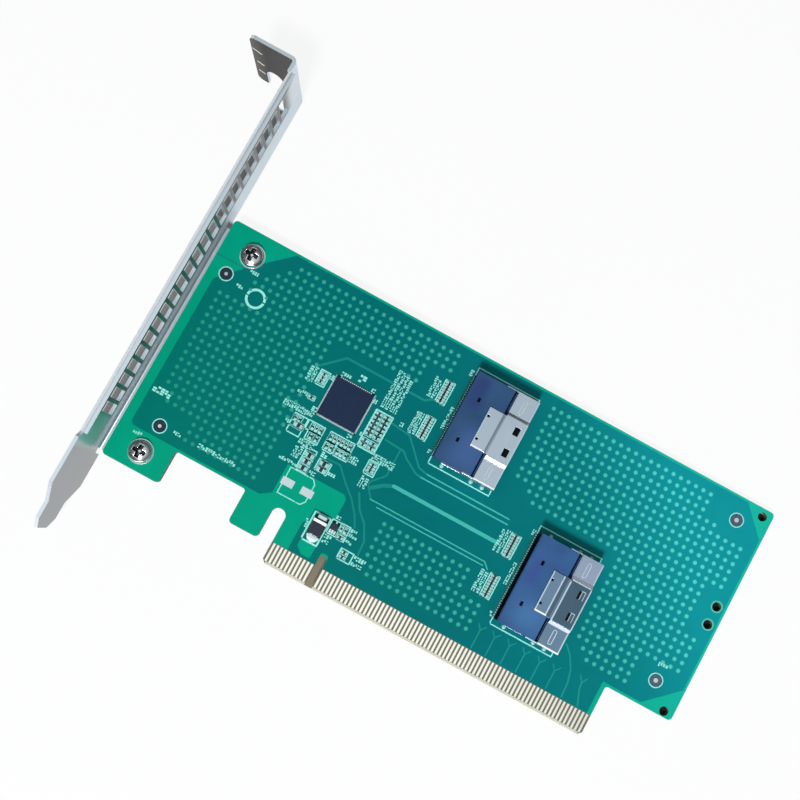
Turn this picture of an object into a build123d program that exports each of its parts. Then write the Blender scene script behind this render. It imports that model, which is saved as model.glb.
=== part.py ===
"""A plug-in server adapter card: board, slot bracket, two cable sockets and small parts.

Millimetres. The card lies flat with its component side up. X runs from the bracket
to the far end, Y runs from the edge contacts up the board, Z points away from the
component side. The origin is the middle of the key notch, at the tip of the edge
connector, on the component side of the board.
"""
import os
from math import radians, tan

from build123d import *

# Board outline
BOARD_T = 1.57
BOARD_RIGHT = 89.5
BOARD_TOP = 68.0
BOARD_LOW = 12.95
BOARD_CORNER_R = 1.0
LEG_RIGHT = -42.2
LEG_LOW = 4.4
HOOK_LEFT = -23.6
HOOK_RIGHT = -15.9
HOOK_LOW = 4.4
RELIEF_FLAT = 0.2
INNER_CORNER_R = 0.7

# Edge connector
TONGUE_CORNER = 0.9
BEVEL_DEPTH = 0.35
BEVEL_LENGTH = 0.6
KEY_W = 1.9
KEY_TOP = 8.1
PAD_PITCH = 1.0
PAD_W = 0.7
PAD_LOW = 0.65
PAD_TOP = 5.2
PAD_T = 0.05
PADS_BEFORE_KEY = 11
PADS_AFTER_KEY = 71
KEY_TO_PAD = 1.5
PAD_MARGIN = 0.45

# Holes at the far end of the board
TOOLING_HOLE_R = 1.1
TOOLING_HOLES = [(87.05, y) for y in (14.3, 37.1, 41.8, 66.0)]

# Slot bracket, folded from one sheet
SHEET_T = 0.86
BEND_R = 0.5
PLATE_OUT = -59.5
BOARD_GAP = 1.49
PLATE_HIGH = 14.35
PLATE_W = 18.42
BRACKET_H = 120.02
TAB_TOP = 103.7
TAB_REACH = 11.43
TAB_CORNER_R = 1.6
NOTCH_W = 4.42
NOTCH_DEPTH = 6.6
NOTCH_FROM_PLATE = 6.35
LIP_W = 2.1
LIP_LOW = 7.4
LIP_TOP = 100.2
VENT_PITCH = 3.66
VENT_W = 2.66
VENT_FIRST = 13.2
VENT_COUNT = 23
VENT_Z_LOW = 2.5
VENT_Z_HIGH = 11.1
SHOULDER_TOP = -5.2
SHOULDER_LOW = -9.8
BLADE_W = 10.19
BLADE_TIP_CUT = 2.4
FLANGE_LOW = 5.0
FLANGE_HIGH = 65.6
FLANGE_RAIL = 4.4
EAR_PAST_SCREW = 3.8
EAR_W = 11.0
EAR_CORNER_R = 1.5
RELIEF_W = 1.5
COLLAR_R = 2.4
COLLAR_H = 1.0

# Bracket screws
SCREW_X = -49.3
SCREW_YS = [9.0, 62.1]
SCREW_R = 1.45
SCREW_HOLE_GAP = 0.15
THREAD_GAP = 0.05
SCREW_END_GAP = 0.5
HEAD_R = 2.85
HEAD_SIDE_H = 1.3
HEAD_DRAFT = 0.3
HEAD_H = 2.1
HEAD_FLAT_R = 1.7
RECESS_SPAN = 3.1
RECESS_W = 0.85
RECESS_DEPTH = 1.3

# Cable sockets: places of the footprint centres, then sizes in the socket's own frame
SOCKETS = [(19.0, 51.75), (49.7, 25.6)]
SOCKET_L = 16.1
SOCKET_W = 23.2
SHELL_T = 0.3
SHELL_L = 5.5
SHELL_SIDE_H = 4.85
SHELL_MID_H = 5.65
SHELL_MID_W = 10.7
SHELL_STEP_W = 0.8
SHELL_LOW = 0.1
HOUSING_H = 5.2
HOUSING_LOW = 0.15
HOUSING_GAP = 0.45
CARD_SLOT_WALL = 0.3
NOSE_LOW = 0.7
NOSE_H = 4.0
NOSE_L = 0.75
CARD_SLOT_H = 1.3
CARD_SLOT_LOW = 1.7
CARD_SLOT_DEPTH = 6.5
LATCH_W = 10.2
LATCH_L = 4.3
WINDOW_L = 1.4
WINDOW_W = 2.0
WINDOW_FROM_REAR = 14.3
WINDOW_SPREAD = 5.56
PIN_WINDOW = 0.6
PIN_FROM_REAR = 6.9
PIN_SPREAD = 5.96
RIB_L = 3.4
RIB_W = 0.8
RIB_H = 0.12
RIB_FROM_REAR = 13.1
RIB_SPREAD = 17.2
POCKET_L = 0.7
POCKET_W = 1.1
POCKET_DEPTH = 1.4
POCKET_FROM_REAR = 3.2
POCKET_SPREAD = 10.5
LEGS_FROM_REAR = [3.05, 10.85, 13.85]
LEG_W = 0.8
LEG_END = 0.7
LEG_HOLE_GAP = 0.12
RAIL_LOW = 0.3
RAIL_H = 1.5
RAIL_FROM_REAR = 2.5
ARM_FROM_REAR = 7.6
ARM_TOP = 4.7
PEG_R = 0.5
PEG_FROM_REAR = 6.3
PEG_SPREAD = 17.0
PEG_HOLE_GAP = 0.08
CONTACT_PITCH = 0.6
CONTACT_W = 0.26
CONTACT_T = 0.15
TAIL_OUT = 0.95
RISER_FROM_REAR = 0.45
INNER_RISER_FROM_REAR = 4.3
SOLDER_SPREAD = 0.35
SOLDER_H = 0.45
SOLDER_TIP = 0.1

# Control chip
CHIP_X = -12.8
CHIP_Y = 41.65
CHIP_SIZE = 10.0
CHIP_H = 0.83
CHIP_EDGE = 0.08
CHIP_LEADS_PER_SIDE = 17
CHIP_LEAD_PITCH = 0.5
CHIP_LEAD_W = 0.25
CHIP_LEAD_OUT = 0.4
CHIP_LEAD_T = 0.12
CHIP_PAD_SIZE = 7.0

# Power diode and small regulator
DIODE = (-4.6, 13.2)
DIODE_W = 3.5
DIODE_L = 4.3
DIODE_H = 2.1
DIODE_WAIST = 0.25
DIODE_LEAD_W = 2.1
DIODE_LEAD_OUT = 0.75
DIODE_LEAD_T = 0.22
REGULATOR = (-1.15, 15.2)
REGULATOR_W = 1.9
REGULATOR_L = 1.7
REGULATOR_H = 1.0
REGULATOR_LEAD_W = 0.4
REGULATOR_LEAD_OUT = 0.55
REGULATOR_LEAD_T = 0.12

# Empty capacitor place: two tinned pads
EMPTY_PADS = [(-15.85, 19.1), (-10.75, 19.1)]
EMPTY_PAD_L = 3.1
EMPTY_PAD_W = 1.9

# Chip capacitors and resistors: length, width and height
SMALL = (1.0, 0.5, 0.36)
MEDIUM = (1.6, 0.85, 0.5)
TURNED = 90

# Rows of chip parts: size, first centre, last centre, step between them, turn of the long axis
CAPACITOR_ROWS = [
    (SMALL, (6.35, 43.5), (6.35, 48.4), 0.7, 0),
    (SMALL, (6.35, 53.15), (6.35, 58.05), 0.7, 0),
    (SMALL, (37.35, 28.65), (37.35, 33.55), 0.7, 0),
    (SMALL, (37.35, 18.0), (37.35, 22.9), 0.7, 0),
    (SMALL, (-12.0, 33.3), (-7.1, 33.3), 0.98, TURNED),
    (SMALL, (-11.9, 31.0), (-10.9, 31.0), 1.0, TURNED),
    (SMALL, (-9.1, 31.0), (-7.0, 31.0), 1.05, TURNED),
    (MEDIUM, (-14.4, 23.75), (-14.4, 27.05), 1.65, 0),
    (MEDIUM, (-10.4, 25.35), (-10.4, 26.85), 1.5, 0),
    (SMALL, (-0.3, 30.6), (-0.3, 32.1), 0.75, 0),
]
RESISTOR_ROWS = [
    (SMALL, (-4.75, 38.15), (-4.75, 43.55), 1.08, 0),
    (SMALL, (-4.75, 35.35), (-4.75, 36.5), 1.15, 0),
    (SMALL, (-2.6, 38.15), (-2.6, 43.55), 1.08, 0),
    (SMALL, (-2.6, 35.35), (-2.6, 36.5), 1.15, 0),
    (SMALL, (-20.65, 43.7), (-20.65, 45.5), 0.9, 0),
    (SMALL, (-21.6, 33.4), (-20.6, 33.4), 1.0, TURNED),
    (MEDIUM, (-20.1, 32.0), (-20.1, 32.0), 1.0, 0),
    (SMALL, (-17.0, 33.4), (-15.0, 33.4), 1.0, TURNED),
    (SMALL, (-16.4, 31.2), (-15.0, 31.2), 1.4, TURNED),
    (SMALL, (0.5, 15.6), (1.5, 15.6), 1.0, TURNED),
    (SMALL, (1.1, 13.6), (1.1, 13.6), 1.0, 0),
    (SMALL, (3.7, 9.8), (3.7, 11.0), 1.2, 0),
    (SMALL, (-20.7, 39.3), (-20.7, 39.3), 1.0, 0),
]

PLATE_LOW = PLATE_HIGH - PLATE_W
PLATE_IN = PLATE_OUT + SHEET_T
BOARD_LEFT = PLATE_IN + BOARD_GAP
TONGUE_LEFT = -KEY_TO_PAD - (PADS_BEFORE_KEY - 1) * PAD_PITCH - PAD_W / 2 - PAD_MARGIN
TONGUE_RIGHT = KEY_TO_PAD + (PADS_AFTER_KEY - 1) * PAD_PITCH + PAD_W / 2 + PAD_MARGIN
BLADE_TIP = TAB_TOP - BRACKET_H
FLANGE_TOP = -BOARD_T
OUTER_R = BEND_R + SHEET_T
REAR = -SOCKET_L / 2
MOUTH = SOCKET_L / 2
SHELL_REAR = MOUTH - SHELL_L
CARD_SLOT_HALF = SOCKET_W / 2 - SHELL_T - CARD_SLOT_WALL
CONTACT_COUNT = int((2 * CARD_SLOT_HALF - CONTACT_W) / CONTACT_PITCH) + 1


def block(x0, x1, y0, y1, z0, z1):
    """A box given by its limits."""
    size = Box(x1 - x0, y1 - y0, z1 - z0)
    return Pos((x0 + x1) / 2, (y0 + y1) / 2, (z0 + z1) / 2) * size


def prism(plane, points, depth):
    """A straight-sided outline drawn on a plane and given a thickness."""
    return extrude(plane * make_face(Polyline(*points, close=True)), amount=depth)


def save(name, solids):
    """Write one node. A list becomes a group of separate solids."""
    shape = Compound(children=solids) if isinstance(solids, list) else solids
    export_step(shape, f"parts/{name}.step")


def board_outline():
    """The outline with its leg, hook and edge-connector tongue."""
    corners = [
        (BOARD_LEFT, BOARD_TOP), (BOARD_RIGHT, BOARD_TOP),
        (BOARD_RIGHT, BOARD_LOW), (TONGUE_RIGHT, BOARD_LOW),
        (TONGUE_RIGHT, 0), (TONGUE_LEFT, 0),
        (TONGUE_LEFT, BOARD_LOW), (HOOK_RIGHT, BOARD_LOW),
        (HOOK_RIGHT, HOOK_LOW), (HOOK_LEFT, HOOK_LOW),
        (HOOK_LEFT, BOARD_LOW), (LEG_RIGHT, BOARD_LOW),
        (LEG_RIGHT, LEG_LOW), (BOARD_LEFT, LEG_LOW),
    ]
    outer = [corners[i] for i in (0, 1, 2, 8, 9, 12, 13)]
    inner = [corners[i] for i in (3, 10, 11)]
    relief = [corners[i] for i in (6, 7)]
    tips = [corners[i] for i in (4, 5)]
    face = Sketch() + make_face(Polyline(*corners, close=True))
    relief_r = (TONGUE_LEFT - HOOK_RIGHT - RELIEF_FLAT) / 2
    for spots, radius in ((outer, BOARD_CORNER_R), (inner, INNER_CORNER_R), (relief, relief_r)):
        face = fillet(corner_points(face, spots), radius)
    return chamfer(corner_points(face, tips), TONGUE_CORNER)


def corner_points(face, spots):
    """The outline's own vertices that lie at the given places."""
    def near(vertex, spot):
        return abs(vertex.X - spot[0]) < 1e-6 and abs(vertex.Y - spot[1]) < 1e-6
    return [v for v in face.vertices() if any(near(v, spot) for spot in spots)]


def key_notch():
    straight = Pos(0, KEY_TOP / 2 - KEY_W / 2) * Rectangle(KEY_W, KEY_TOP)
    return straight + Pos(0, KEY_TOP - KEY_W / 2) * Circle(KEY_W / 2)


def leg_places(socket):
    """Centres of the shell's solder legs on the board, on both flanks."""
    x, y = socket
    flank = SOCKET_W / 2 - SHELL_T / 2
    return [(x + REAR + d, y + side * flank) for d in LEGS_FROM_REAR for side in (-1, 1)]


def peg_places(socket):
    x, y = socket
    return [(x + REAR + PEG_FROM_REAR, y + side * PEG_SPREAD / 2) for side in (-1, 1)]


def circuit_board():
    face = board_outline() - key_notch()
    for place in TOOLING_HOLES:
        face -= Pos(*place) * Circle(TOOLING_HOLE_R)
    for y in SCREW_YS:
        face -= Pos(SCREW_X, y) * Circle(SCREW_R + SCREW_HOLE_GAP)
    for socket in SOCKETS:
        for place in leg_places(socket):
            face -= Pos(*place) * Rectangle(LEG_W + 2 * LEG_HOLE_GAP, SHELL_T + 2 * LEG_HOLE_GAP)
        for place in peg_places(socket):
            face -= Pos(*place) * Circle(PEG_R + PEG_HOLE_GAP)
    board = extrude(face, amount=-BOARD_T)
    for height, way in ((0, -1), (-BOARD_T, 1)):
        wedge = [(0, height), (BEVEL_LENGTH, height), (0, height + way * BEVEL_DEPTH)]
        side = Plane.YZ.offset(TONGUE_LEFT)
        board -= prism(side, wedge, TONGUE_RIGHT - TONGUE_LEFT)
    return board


def edge_contacts(z_low):
    """One face's row of plated fingers, split by the key notch."""
    before = [-KEY_TO_PAD - i * PAD_PITCH for i in range(PADS_BEFORE_KEY)]
    after = [KEY_TO_PAD + i * PAD_PITCH for i in range(PADS_AFTER_KEY)]
    return [block(x - PAD_W / 2, x + PAD_W / 2, PAD_LOW, PAD_TOP, z_low, z_low + PAD_T)
            for x in before + after]


def plate():
    """The bracket's flat face with its vents, shoulders and lower blade."""
    middle = (PLATE_LOW + PLATE_HIGH) / 2
    lip_start = PLATE_HIGH - OUTER_R
    tab_start = TAB_TOP - OUTER_R
    blade_low = middle - BLADE_W / 2
    blade_high = middle + BLADE_W / 2
    flange_start = FLANGE_TOP - SHEET_T + OUTER_R
    corners = [
        (BLADE_TIP, blade_low + BLADE_TIP_CUT), (BLADE_TIP + BLADE_TIP_CUT, blade_low),
        (SHOULDER_LOW, blade_low), (SHOULDER_TOP, PLATE_LOW),
        (FLANGE_LOW - RELIEF_W, PLATE_LOW), (FLANGE_LOW - RELIEF_W, flange_start),
        (FLANGE_HIGH + RELIEF_W, flange_start), (FLANGE_HIGH + RELIEF_W, PLATE_LOW),
        (tab_start, PLATE_LOW), (tab_start, PLATE_HIGH),
        (LIP_TOP, PLATE_HIGH), (LIP_TOP, lip_start),
        (LIP_LOW, lip_start), (LIP_LOW - OUTER_R, PLATE_HIGH),
        (SHOULDER_TOP, PLATE_HIGH), (SHOULDER_LOW, blade_high),
        (BLADE_TIP + BLADE_TIP_CUT, blade_high), (BLADE_TIP, blade_high - BLADE_TIP_CUT),
    ]
    sheet = prism(Plane.YZ.offset(PLATE_OUT), corners, SHEET_T)
    for i in range(VENT_COUNT):
        y = VENT_FIRST + i * VENT_PITCH
        sheet -= block(PLATE_OUT, PLATE_IN, y, y + VENT_W, VENT_Z_LOW, VENT_Z_HIGH)
    return sheet


def fold(plane, path, depth):
    """A strip of the sheet that follows a bent path drawn on its middle."""
    line = FilletPolyline(*path, radius=BEND_R + SHEET_T / 2)
    return extrude(plane * trace(line, SHEET_T), amount=depth)


def lip():
    half = SHEET_T / 2
    x, z = PLATE_OUT + half, PLATE_HIGH - half
    path = [(x, PLATE_HIGH - 2 * OUTER_R), (x, z), (PLATE_OUT + LIP_W, z)]
    return fold(Plane.XZ.offset(-LIP_LOW), path, LIP_LOW - LIP_TOP)


def tab():
    """The top tab, folded outwards, with the notch for the chassis screw."""
    half = SHEET_T / 2
    x, y = PLATE_IN - half, TAB_TOP - half
    path = [(x, TAB_TOP - 2 * OUTER_R), (x, y), (PLATE_OUT - TAB_REACH, y)]
    strip = fold(Plane.XY.offset(PLATE_LOW), path, PLATE_W)
    ends = strip.edges().filter_by(Axis.Y).group_by(Axis.X)[0]
    strip = fillet(ends, TAB_CORNER_R)
    notch_x = PLATE_OUT - NOTCH_FROM_PLATE
    round_z = PLATE_LOW + NOTCH_DEPTH - NOTCH_W / 2
    cutter = Rot(90, 0, 0) * Cylinder(NOTCH_W / 2, 4 * SHEET_T)
    strip -= Pos(notch_x, y, round_z) * cutter
    strip -= block(notch_x - NOTCH_W / 2, notch_x + NOTCH_W / 2,
                   y - SHEET_T, y + SHEET_T, PLATE_LOW, round_z)
    return strip


def flange():
    """The fold under the board: a long rail with an ear at each screw."""
    half = SHEET_T / 2
    x, z = PLATE_OUT + half, FLANGE_TOP - half
    reach = SCREW_X + EAR_PAST_SCREW
    path = [(x, FLANGE_TOP - SHEET_T + 2 * OUTER_R), (x, z), (reach, z)]
    strip = fold(Plane.XZ.offset(-FLANGE_LOW), path, FLANGE_LOW - FLANGE_HIGH)
    low_ear = SCREW_YS[0] + EAR_W / 2
    high_ear = SCREW_YS[1] - EAR_W / 2
    strip -= block(PLATE_OUT + FLANGE_RAIL, reach, low_ear, high_ear, FLANGE_TOP - SHEET_T, FLANGE_TOP)
    tips = strip.edges().filter_by(Axis.Z).group_by(Axis.X)[-1]
    strip = fillet(tips, EAR_CORNER_R)
    for y in SCREW_YS:
        collar = Pos(SCREW_X, y, FLANGE_TOP - SHEET_T - COLLAR_H / 2) * Cylinder(COLLAR_R, COLLAR_H)
        drill = Pos(SCREW_X, y, FLANGE_TOP) * Cylinder(SCREW_R + THREAD_GAP, 4 * COLLAR_H)
        strip = strip + collar - drill
    return strip


def bracket():
    return plate() + lip() + tab() + flange()


def bracket_screw(y):
    """A pan-head cross-recess screw, its plain shank in the flange's collar."""
    shoulder = (HEAD_R - HEAD_DRAFT, HEAD_SIDE_H)
    end = FLANGE_TOP - SHEET_T - COLLAR_H - SCREW_END_GAP
    edge = [(0, HEAD_H), (0, end), (SCREW_R, end), (SCREW_R, 0), (HEAD_R, 0), shoulder, (HEAD_FLAT_R, HEAD_H)]
    screw = revolve(Plane.XZ * make_face(Polyline(*edge, close=True)), Axis.Z)
    cross = Rectangle(RECESS_SPAN, RECESS_W) + Rectangle(RECESS_W, RECESS_SPAN)
    screw -= extrude(Pos(0, 0, HEAD_H) * cross, amount=-RECESS_DEPTH)
    return Pos(SCREW_X, y, 0) * screw


def socket_housing():
    """The moulded body: rear block, nose with the card slot, contact ways and pegs."""
    half = SOCKET_W / 2 - SHELL_T
    body = block(REAR, SHELL_REAR - HOUSING_GAP, -half, half, HOUSING_LOW, HOUSING_H)
    rear_edges = body.edges().filter_by(Axis.Y).group_by(Axis.Z)[-1].group_by(Axis.X)[0]
    body = chamfer(rear_edges, 0.25)
    nose_end = SHELL_REAR + NOSE_L
    body += block(SHELL_REAR - HOUSING_GAP, nose_end, -CARD_SLOT_HALF, CARD_SLOT_HALF, NOSE_LOW, NOSE_H)
    slot_back = nose_end - CARD_SLOT_DEPTH
    slot_top = CARD_SLOT_LOW + CARD_SLOT_H
    body -= block(slot_back, nose_end, -CARD_SLOT_HALF, CARD_SLOT_HALF, CARD_SLOT_LOW, slot_top)
    for path in (upper_path(), lower_path()):
        body -= prism(Plane.XZ.offset(-CARD_SLOT_HALF), path, 2 * CARD_SLOT_HALF)
    for side in (-1, 1):
        place = (REAR + POCKET_FROM_REAR, side * POCKET_SPREAD / 2)
        body -= block(place[0] - POCKET_L / 2, place[0] + POCKET_L / 2, place[1] - POCKET_W / 2,
                      place[1] + POCKET_W / 2, HOUSING_H - POCKET_DEPTH, HOUSING_H)
        peg = Cylinder(PEG_R, BOARD_T + HOUSING_LOW)
        body += Pos(REAR + PEG_FROM_REAR, side * PEG_SPREAD / 2, (HOUSING_LOW - BOARD_T) / 2) * peg
    return body


def upper_path():
    """Side outline of an upper contact: foot behind the housing, riser, blade in the slot."""
    low = 0
    riser = REAR + RISER_FROM_REAR
    blade = CARD_SLOT_LOW + CARD_SLOT_H
    tip = SHELL_REAR + NOSE_L - CONTACT_PITCH
    return [(REAR - TAIL_OUT, low), (riser + CONTACT_T, low), (riser + CONTACT_T, blade),
            (tip, blade), (tip, blade + CONTACT_T), (riser, blade + CONTACT_T),
            (riser, low + CONTACT_T), (REAR - TAIL_OUT, low + CONTACT_T)]


def lower_path():
    """Side outline of a lower contact, which stands on the board under the housing."""
    riser = REAR + INNER_RISER_FROM_REAR
    blade = CARD_SLOT_LOW
    tip = SHELL_REAR + NOSE_L - CONTACT_PITCH
    return [(riser, 0), (riser + CONTACT_T, 0), (riser + CONTACT_T, blade - CONTACT_T),
            (tip, blade - CONTACT_T), (tip, blade), (riser, blade)]


def socket_contacts(path):
    """A row of stamped contacts on the socket's pitch."""
    span = (CONTACT_COUNT - 1) * CONTACT_PITCH
    one = prism(Plane.XZ.offset(-CONTACT_W / 2), path, CONTACT_W)
    return [Pos(0, i * CONTACT_PITCH - span / 2, 0) * one for i in range(CONTACT_COUNT)]


def shell_outline(inset):
    """Cross-section of the shell, high in the middle and lower at both sides."""
    half = SOCKET_W / 2 - inset
    mid = SHELL_MID_W / 2 - inset * tan(radians(22.5))
    side_top = SHELL_SIDE_H - inset
    mid_top = SHELL_MID_H - inset
    low = SHELL_LOW + inset
    points = [(-half, low), (half, low), (half, side_top), (mid + SHELL_STEP_W, side_top), (mid, mid_top),
              (-mid, mid_top), (-mid - SHELL_STEP_W, side_top), (-half, side_top)]
    return make_face(Polyline(*points, close=True))


def socket_shell():
    """The stamped shell: mouth, latch plate, side arms, windows, ribs and solder legs."""
    ring = shell_outline(0) - shell_outline(SHELL_T)
    shell = extrude(Plane.YZ.offset(SHELL_REAR) * ring, amount=SHELL_L)
    latch_end = SHELL_REAR - LATCH_L
    latch = [(latch_end, HOUSING_H), (SHELL_REAR - HOUSING_GAP, HOUSING_H),
             (SHELL_REAR, SHELL_MID_H - SHELL_T), (SHELL_REAR + SHELL_T, SHELL_MID_H - SHELL_T),
             (SHELL_REAR + SHELL_T, SHELL_MID_H), (SHELL_REAR, SHELL_MID_H),
             (SHELL_REAR - HOUSING_GAP, HOUSING_H + SHELL_T), (latch_end, HOUSING_H + SHELL_T)]
    shell += prism(Plane.XZ.offset(-LATCH_W / 2), latch, LATCH_W)
    outer = SOCKET_W / 2
    arm = [(REAR + RAIL_FROM_REAR, RAIL_LOW), (REAR + RAIL_FROM_REAR, RAIL_LOW + RAIL_H),
           (REAR + ARM_FROM_REAR, RAIL_LOW + RAIL_H), (REAR + ARM_FROM_REAR, ARM_TOP),
           (SHELL_REAR, ARM_TOP), (SHELL_REAR, RAIL_LOW)]
    for start in (outer, SHELL_T - outer):
        shell += prism(Plane.XZ.offset(-start), arm, SHELL_T)
    for d in LEGS_FROM_REAR:
        for side in (-1, 1):
            y = side * (outer - SHELL_T / 2)
            shell += block(REAR + d - LEG_W / 2, REAR + d + LEG_W / 2, y - SHELL_T / 2, y + SHELL_T / 2,
                           -BOARD_T - LEG_END, RAIL_LOW + RAIL_H / 2)
    for side in (-1, 1):
        window = Pos(REAR + WINDOW_FROM_REAR, side * WINDOW_SPREAD / 2, SHELL_MID_H)
        shell -= window * Box(WINDOW_L, WINDOW_W, 3 * SHELL_T)
        pin_place = Pos(REAR + PIN_FROM_REAR, side * PIN_SPREAD / 2, HOUSING_H + SHELL_T)
        shell -= pin_place * Box(PIN_WINDOW, PIN_WINDOW, 2 * SHELL_T)
        rib = Box(RIB_W, RIB_L, 2 * RIB_H)
        rib = chamfer(rib.edges().group_by(Axis.Z)[-1], RIB_H / 2)
        shell += Pos(REAR + RIB_FROM_REAR, side * RIB_SPREAD / 2, SHELL_SIDE_H) * rib
    return shell


def leg_solder(place):
    """The solder that rises round one shell leg, on the solder side."""
    foot = Box(LEG_W + 2 * SOLDER_SPREAD, SHELL_T + 2 * SOLDER_SPREAD, SOLDER_H)
    mound = chamfer(foot.edges().group_by(Axis.Z)[0], SOLDER_SPREAD - SOLDER_TIP)
    mound -= Box(LEG_W, SHELL_T, 2 * SOLDER_H)
    return Pos(*place, -BOARD_T - SOLDER_H / 2) * mound


def chip_body():
    body = Pos(CHIP_X, CHIP_Y, CHIP_LEAD_T + CHIP_H / 2) * Box(CHIP_SIZE, CHIP_SIZE, CHIP_H)
    return chamfer(body.edges().group_by(Axis.Z)[-1], CHIP_EDGE)


def chip_pad():
    return Pos(CHIP_X, CHIP_Y, CHIP_LEAD_T / 2) * Box(CHIP_PAD_SIZE, CHIP_PAD_SIZE, CHIP_LEAD_T)


def chip_leads():
    """Four rows of flat leads that show as a thin bright rim round the body."""
    span = (CHIP_LEADS_PER_SIDE - 1) * CHIP_LEAD_PITCH
    reach = CHIP_SIZE / 2 + CHIP_LEAD_OUT
    inner = CHIP_SIZE / 2 - CHIP_LEAD_OUT
    one = block(inner, reach, -CHIP_LEAD_W / 2, CHIP_LEAD_W / 2, 0, CHIP_LEAD_T)
    row = [Pos(0, i * CHIP_LEAD_PITCH - span / 2, 0) * one for i in range(CHIP_LEADS_PER_SIDE)]
    return [Pos(CHIP_X, CHIP_Y, 0) * Rot(0, 0, turn) * lead for turn in (0, 90, 180, 270) for lead in row]


def diode_body():
    """A moulded power diode, widest where its leads come out."""
    low = Rectangle(DIODE_W - 2 * DIODE_WAIST, DIODE_L - 2 * DIODE_WAIST)
    wide = Rectangle(DIODE_W, DIODE_L)
    split = DIODE_H / 2
    bottom = loft([Pos(0, 0, DIODE_LEAD_T) * low, Pos(0, 0, split) * wide])
    top = loft([Pos(0, 0, split) * wide, Pos(0, 0, DIODE_H) * low])
    return Pos(*DIODE) * (bottom + top)


def diode_leads():
    """Two flat leads, bent down the ends and outwards on to the board."""
    face_y = DIODE_L / 2
    out = face_y + DIODE_LEAD_OUT
    mid = DIODE_H / 2
    path = [(face_y, mid), (out - DIODE_LEAD_T, mid), (out - DIODE_LEAD_T, 0), (out, 0),
            (out, mid + DIODE_LEAD_T), (face_y, mid + DIODE_LEAD_T)]
    far = Pos(-DIODE_LEAD_W / 2, 0, 0) * extrude(Plane.YZ * make_face(Polyline(*path, close=True)),
                                                amount=DIODE_LEAD_W)
    far -= Pos(*(-DIODE[0], -DIODE[1])) * diode_body()
    return [Pos(*DIODE) * far, Pos(*DIODE) * Rot(0, 0, 180) * far]


def regulator_body():
    body = Box(REGULATOR_W, REGULATOR_L, REGULATOR_H - REGULATOR_LEAD_T)
    body = chamfer(body.edges().group_by(Axis.Z)[-1], 2 * CHIP_EDGE)
    return Pos(*REGULATOR, (REGULATOR_H + REGULATOR_LEAD_T) / 2) * body


def regulator_leads():
    """Three leads: two on the lower edge and one on the upper."""
    reach = REGULATOR_L / 2 + REGULATOR_LEAD_OUT
    foot = block(-REGULATOR_LEAD_W / 2, REGULATOR_LEAD_W / 2, REGULATOR_L / 4, reach, 0, REGULATOR_LEAD_T)
    apart = REGULATOR_W / 2 - REGULATOR_LEAD_W
    places = [(0, 0, 0), (apart, 0, 180), (-apart, 0, 180)]
    return [Pos(*REGULATOR) * Pos(x, y) * Rot(0, 0, turn) * foot for x, y, turn in places]


def chip_parts(rows):
    """Every chip part of the rows, evenly stepped from the first centre to the last."""
    parts = []
    for (length, width, height), first, last, step, turn in rows:
        run = Vector(*last) - Vector(*first)
        steps = round(run.length / step)
        for i in range(steps + 1):
            spot = Vector(*first) + run * (i / max(steps, 1))
            parts.append(Pos(spot) * Rot(0, 0, turn) * Pos(0, 0, height / 2) * Box(length, width, height))
    return parts


def tinned_pads():
    return [Pos(x, y, PAD_T / 2) * Box(EMPTY_PAD_L, EMPTY_PAD_W, PAD_T) for x, y in EMPTY_PADS]


def main():
    os.makedirs("parts", exist_ok=True)
    save("circuit_board", circuit_board())
    save("edge_contacts_front", edge_contacts(0))
    save("edge_contacts_back", edge_contacts(-BOARD_T - PAD_T))
    save("bracket", bracket())
    save("bracket_screws", [bracket_screw(y) for y in SCREW_YS])
    for number, (x, y) in enumerate(SOCKETS, start=1):
        place = Pos(x, y)
        save(f"socket_{number}_housing", place * socket_housing())
        save(f"socket_{number}_shell", place * socket_shell())
        save(f"socket_{number}_upper_contacts", [place * c for c in socket_contacts(upper_path())])
        save(f"socket_{number}_lower_contacts", [place * c for c in socket_contacts(lower_path())])
    save("socket_solder", [leg_solder(p) for socket in SOCKETS for p in leg_places(socket)])
    save("chip_body", chip_body())
    save("chip_leads", chip_leads())
    save("chip_ground_pad", chip_pad())
    save("diode_body", diode_body())
    save("diode_leads", diode_leads())
    save("regulator_body", regulator_body())
    save("regulator_leads", regulator_leads())
    save("chip_capacitors", chip_parts(CAPACITOR_ROWS))
    save("chip_resistors", chip_parts(RESISTOR_ROWS))
    save("tinned_pads", tinned_pads())


main()
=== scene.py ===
# %% [markdown]
# # A plug-in adapter card in Blender
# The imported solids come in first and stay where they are. Each later step either gives
# one of them its finish or adds what a solid is too coarse for: the layers of the
# printed board, solder, small parts and marks. Sizes are written in millimetres, as on a
# drawing, and turned into metres only when a mesh is finished.

# %% Load the card
import bpy
import bmesh
from math import atan2, cos, degrees, hypot, pi, radians, sin
from random import Random
from mathutils import Matrix, Vector


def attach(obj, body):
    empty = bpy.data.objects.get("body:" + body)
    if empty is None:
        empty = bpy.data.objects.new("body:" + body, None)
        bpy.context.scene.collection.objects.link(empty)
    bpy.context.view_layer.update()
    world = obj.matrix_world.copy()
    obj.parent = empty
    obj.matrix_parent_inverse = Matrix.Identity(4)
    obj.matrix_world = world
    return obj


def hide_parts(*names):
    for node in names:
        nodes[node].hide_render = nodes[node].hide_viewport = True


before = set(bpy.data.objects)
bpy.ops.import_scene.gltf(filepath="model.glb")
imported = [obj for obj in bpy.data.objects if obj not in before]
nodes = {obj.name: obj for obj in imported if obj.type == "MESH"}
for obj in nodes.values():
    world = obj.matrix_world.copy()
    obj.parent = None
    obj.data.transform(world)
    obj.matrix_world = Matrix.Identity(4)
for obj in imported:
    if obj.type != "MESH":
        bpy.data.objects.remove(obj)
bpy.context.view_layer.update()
MM = 0.001
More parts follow.
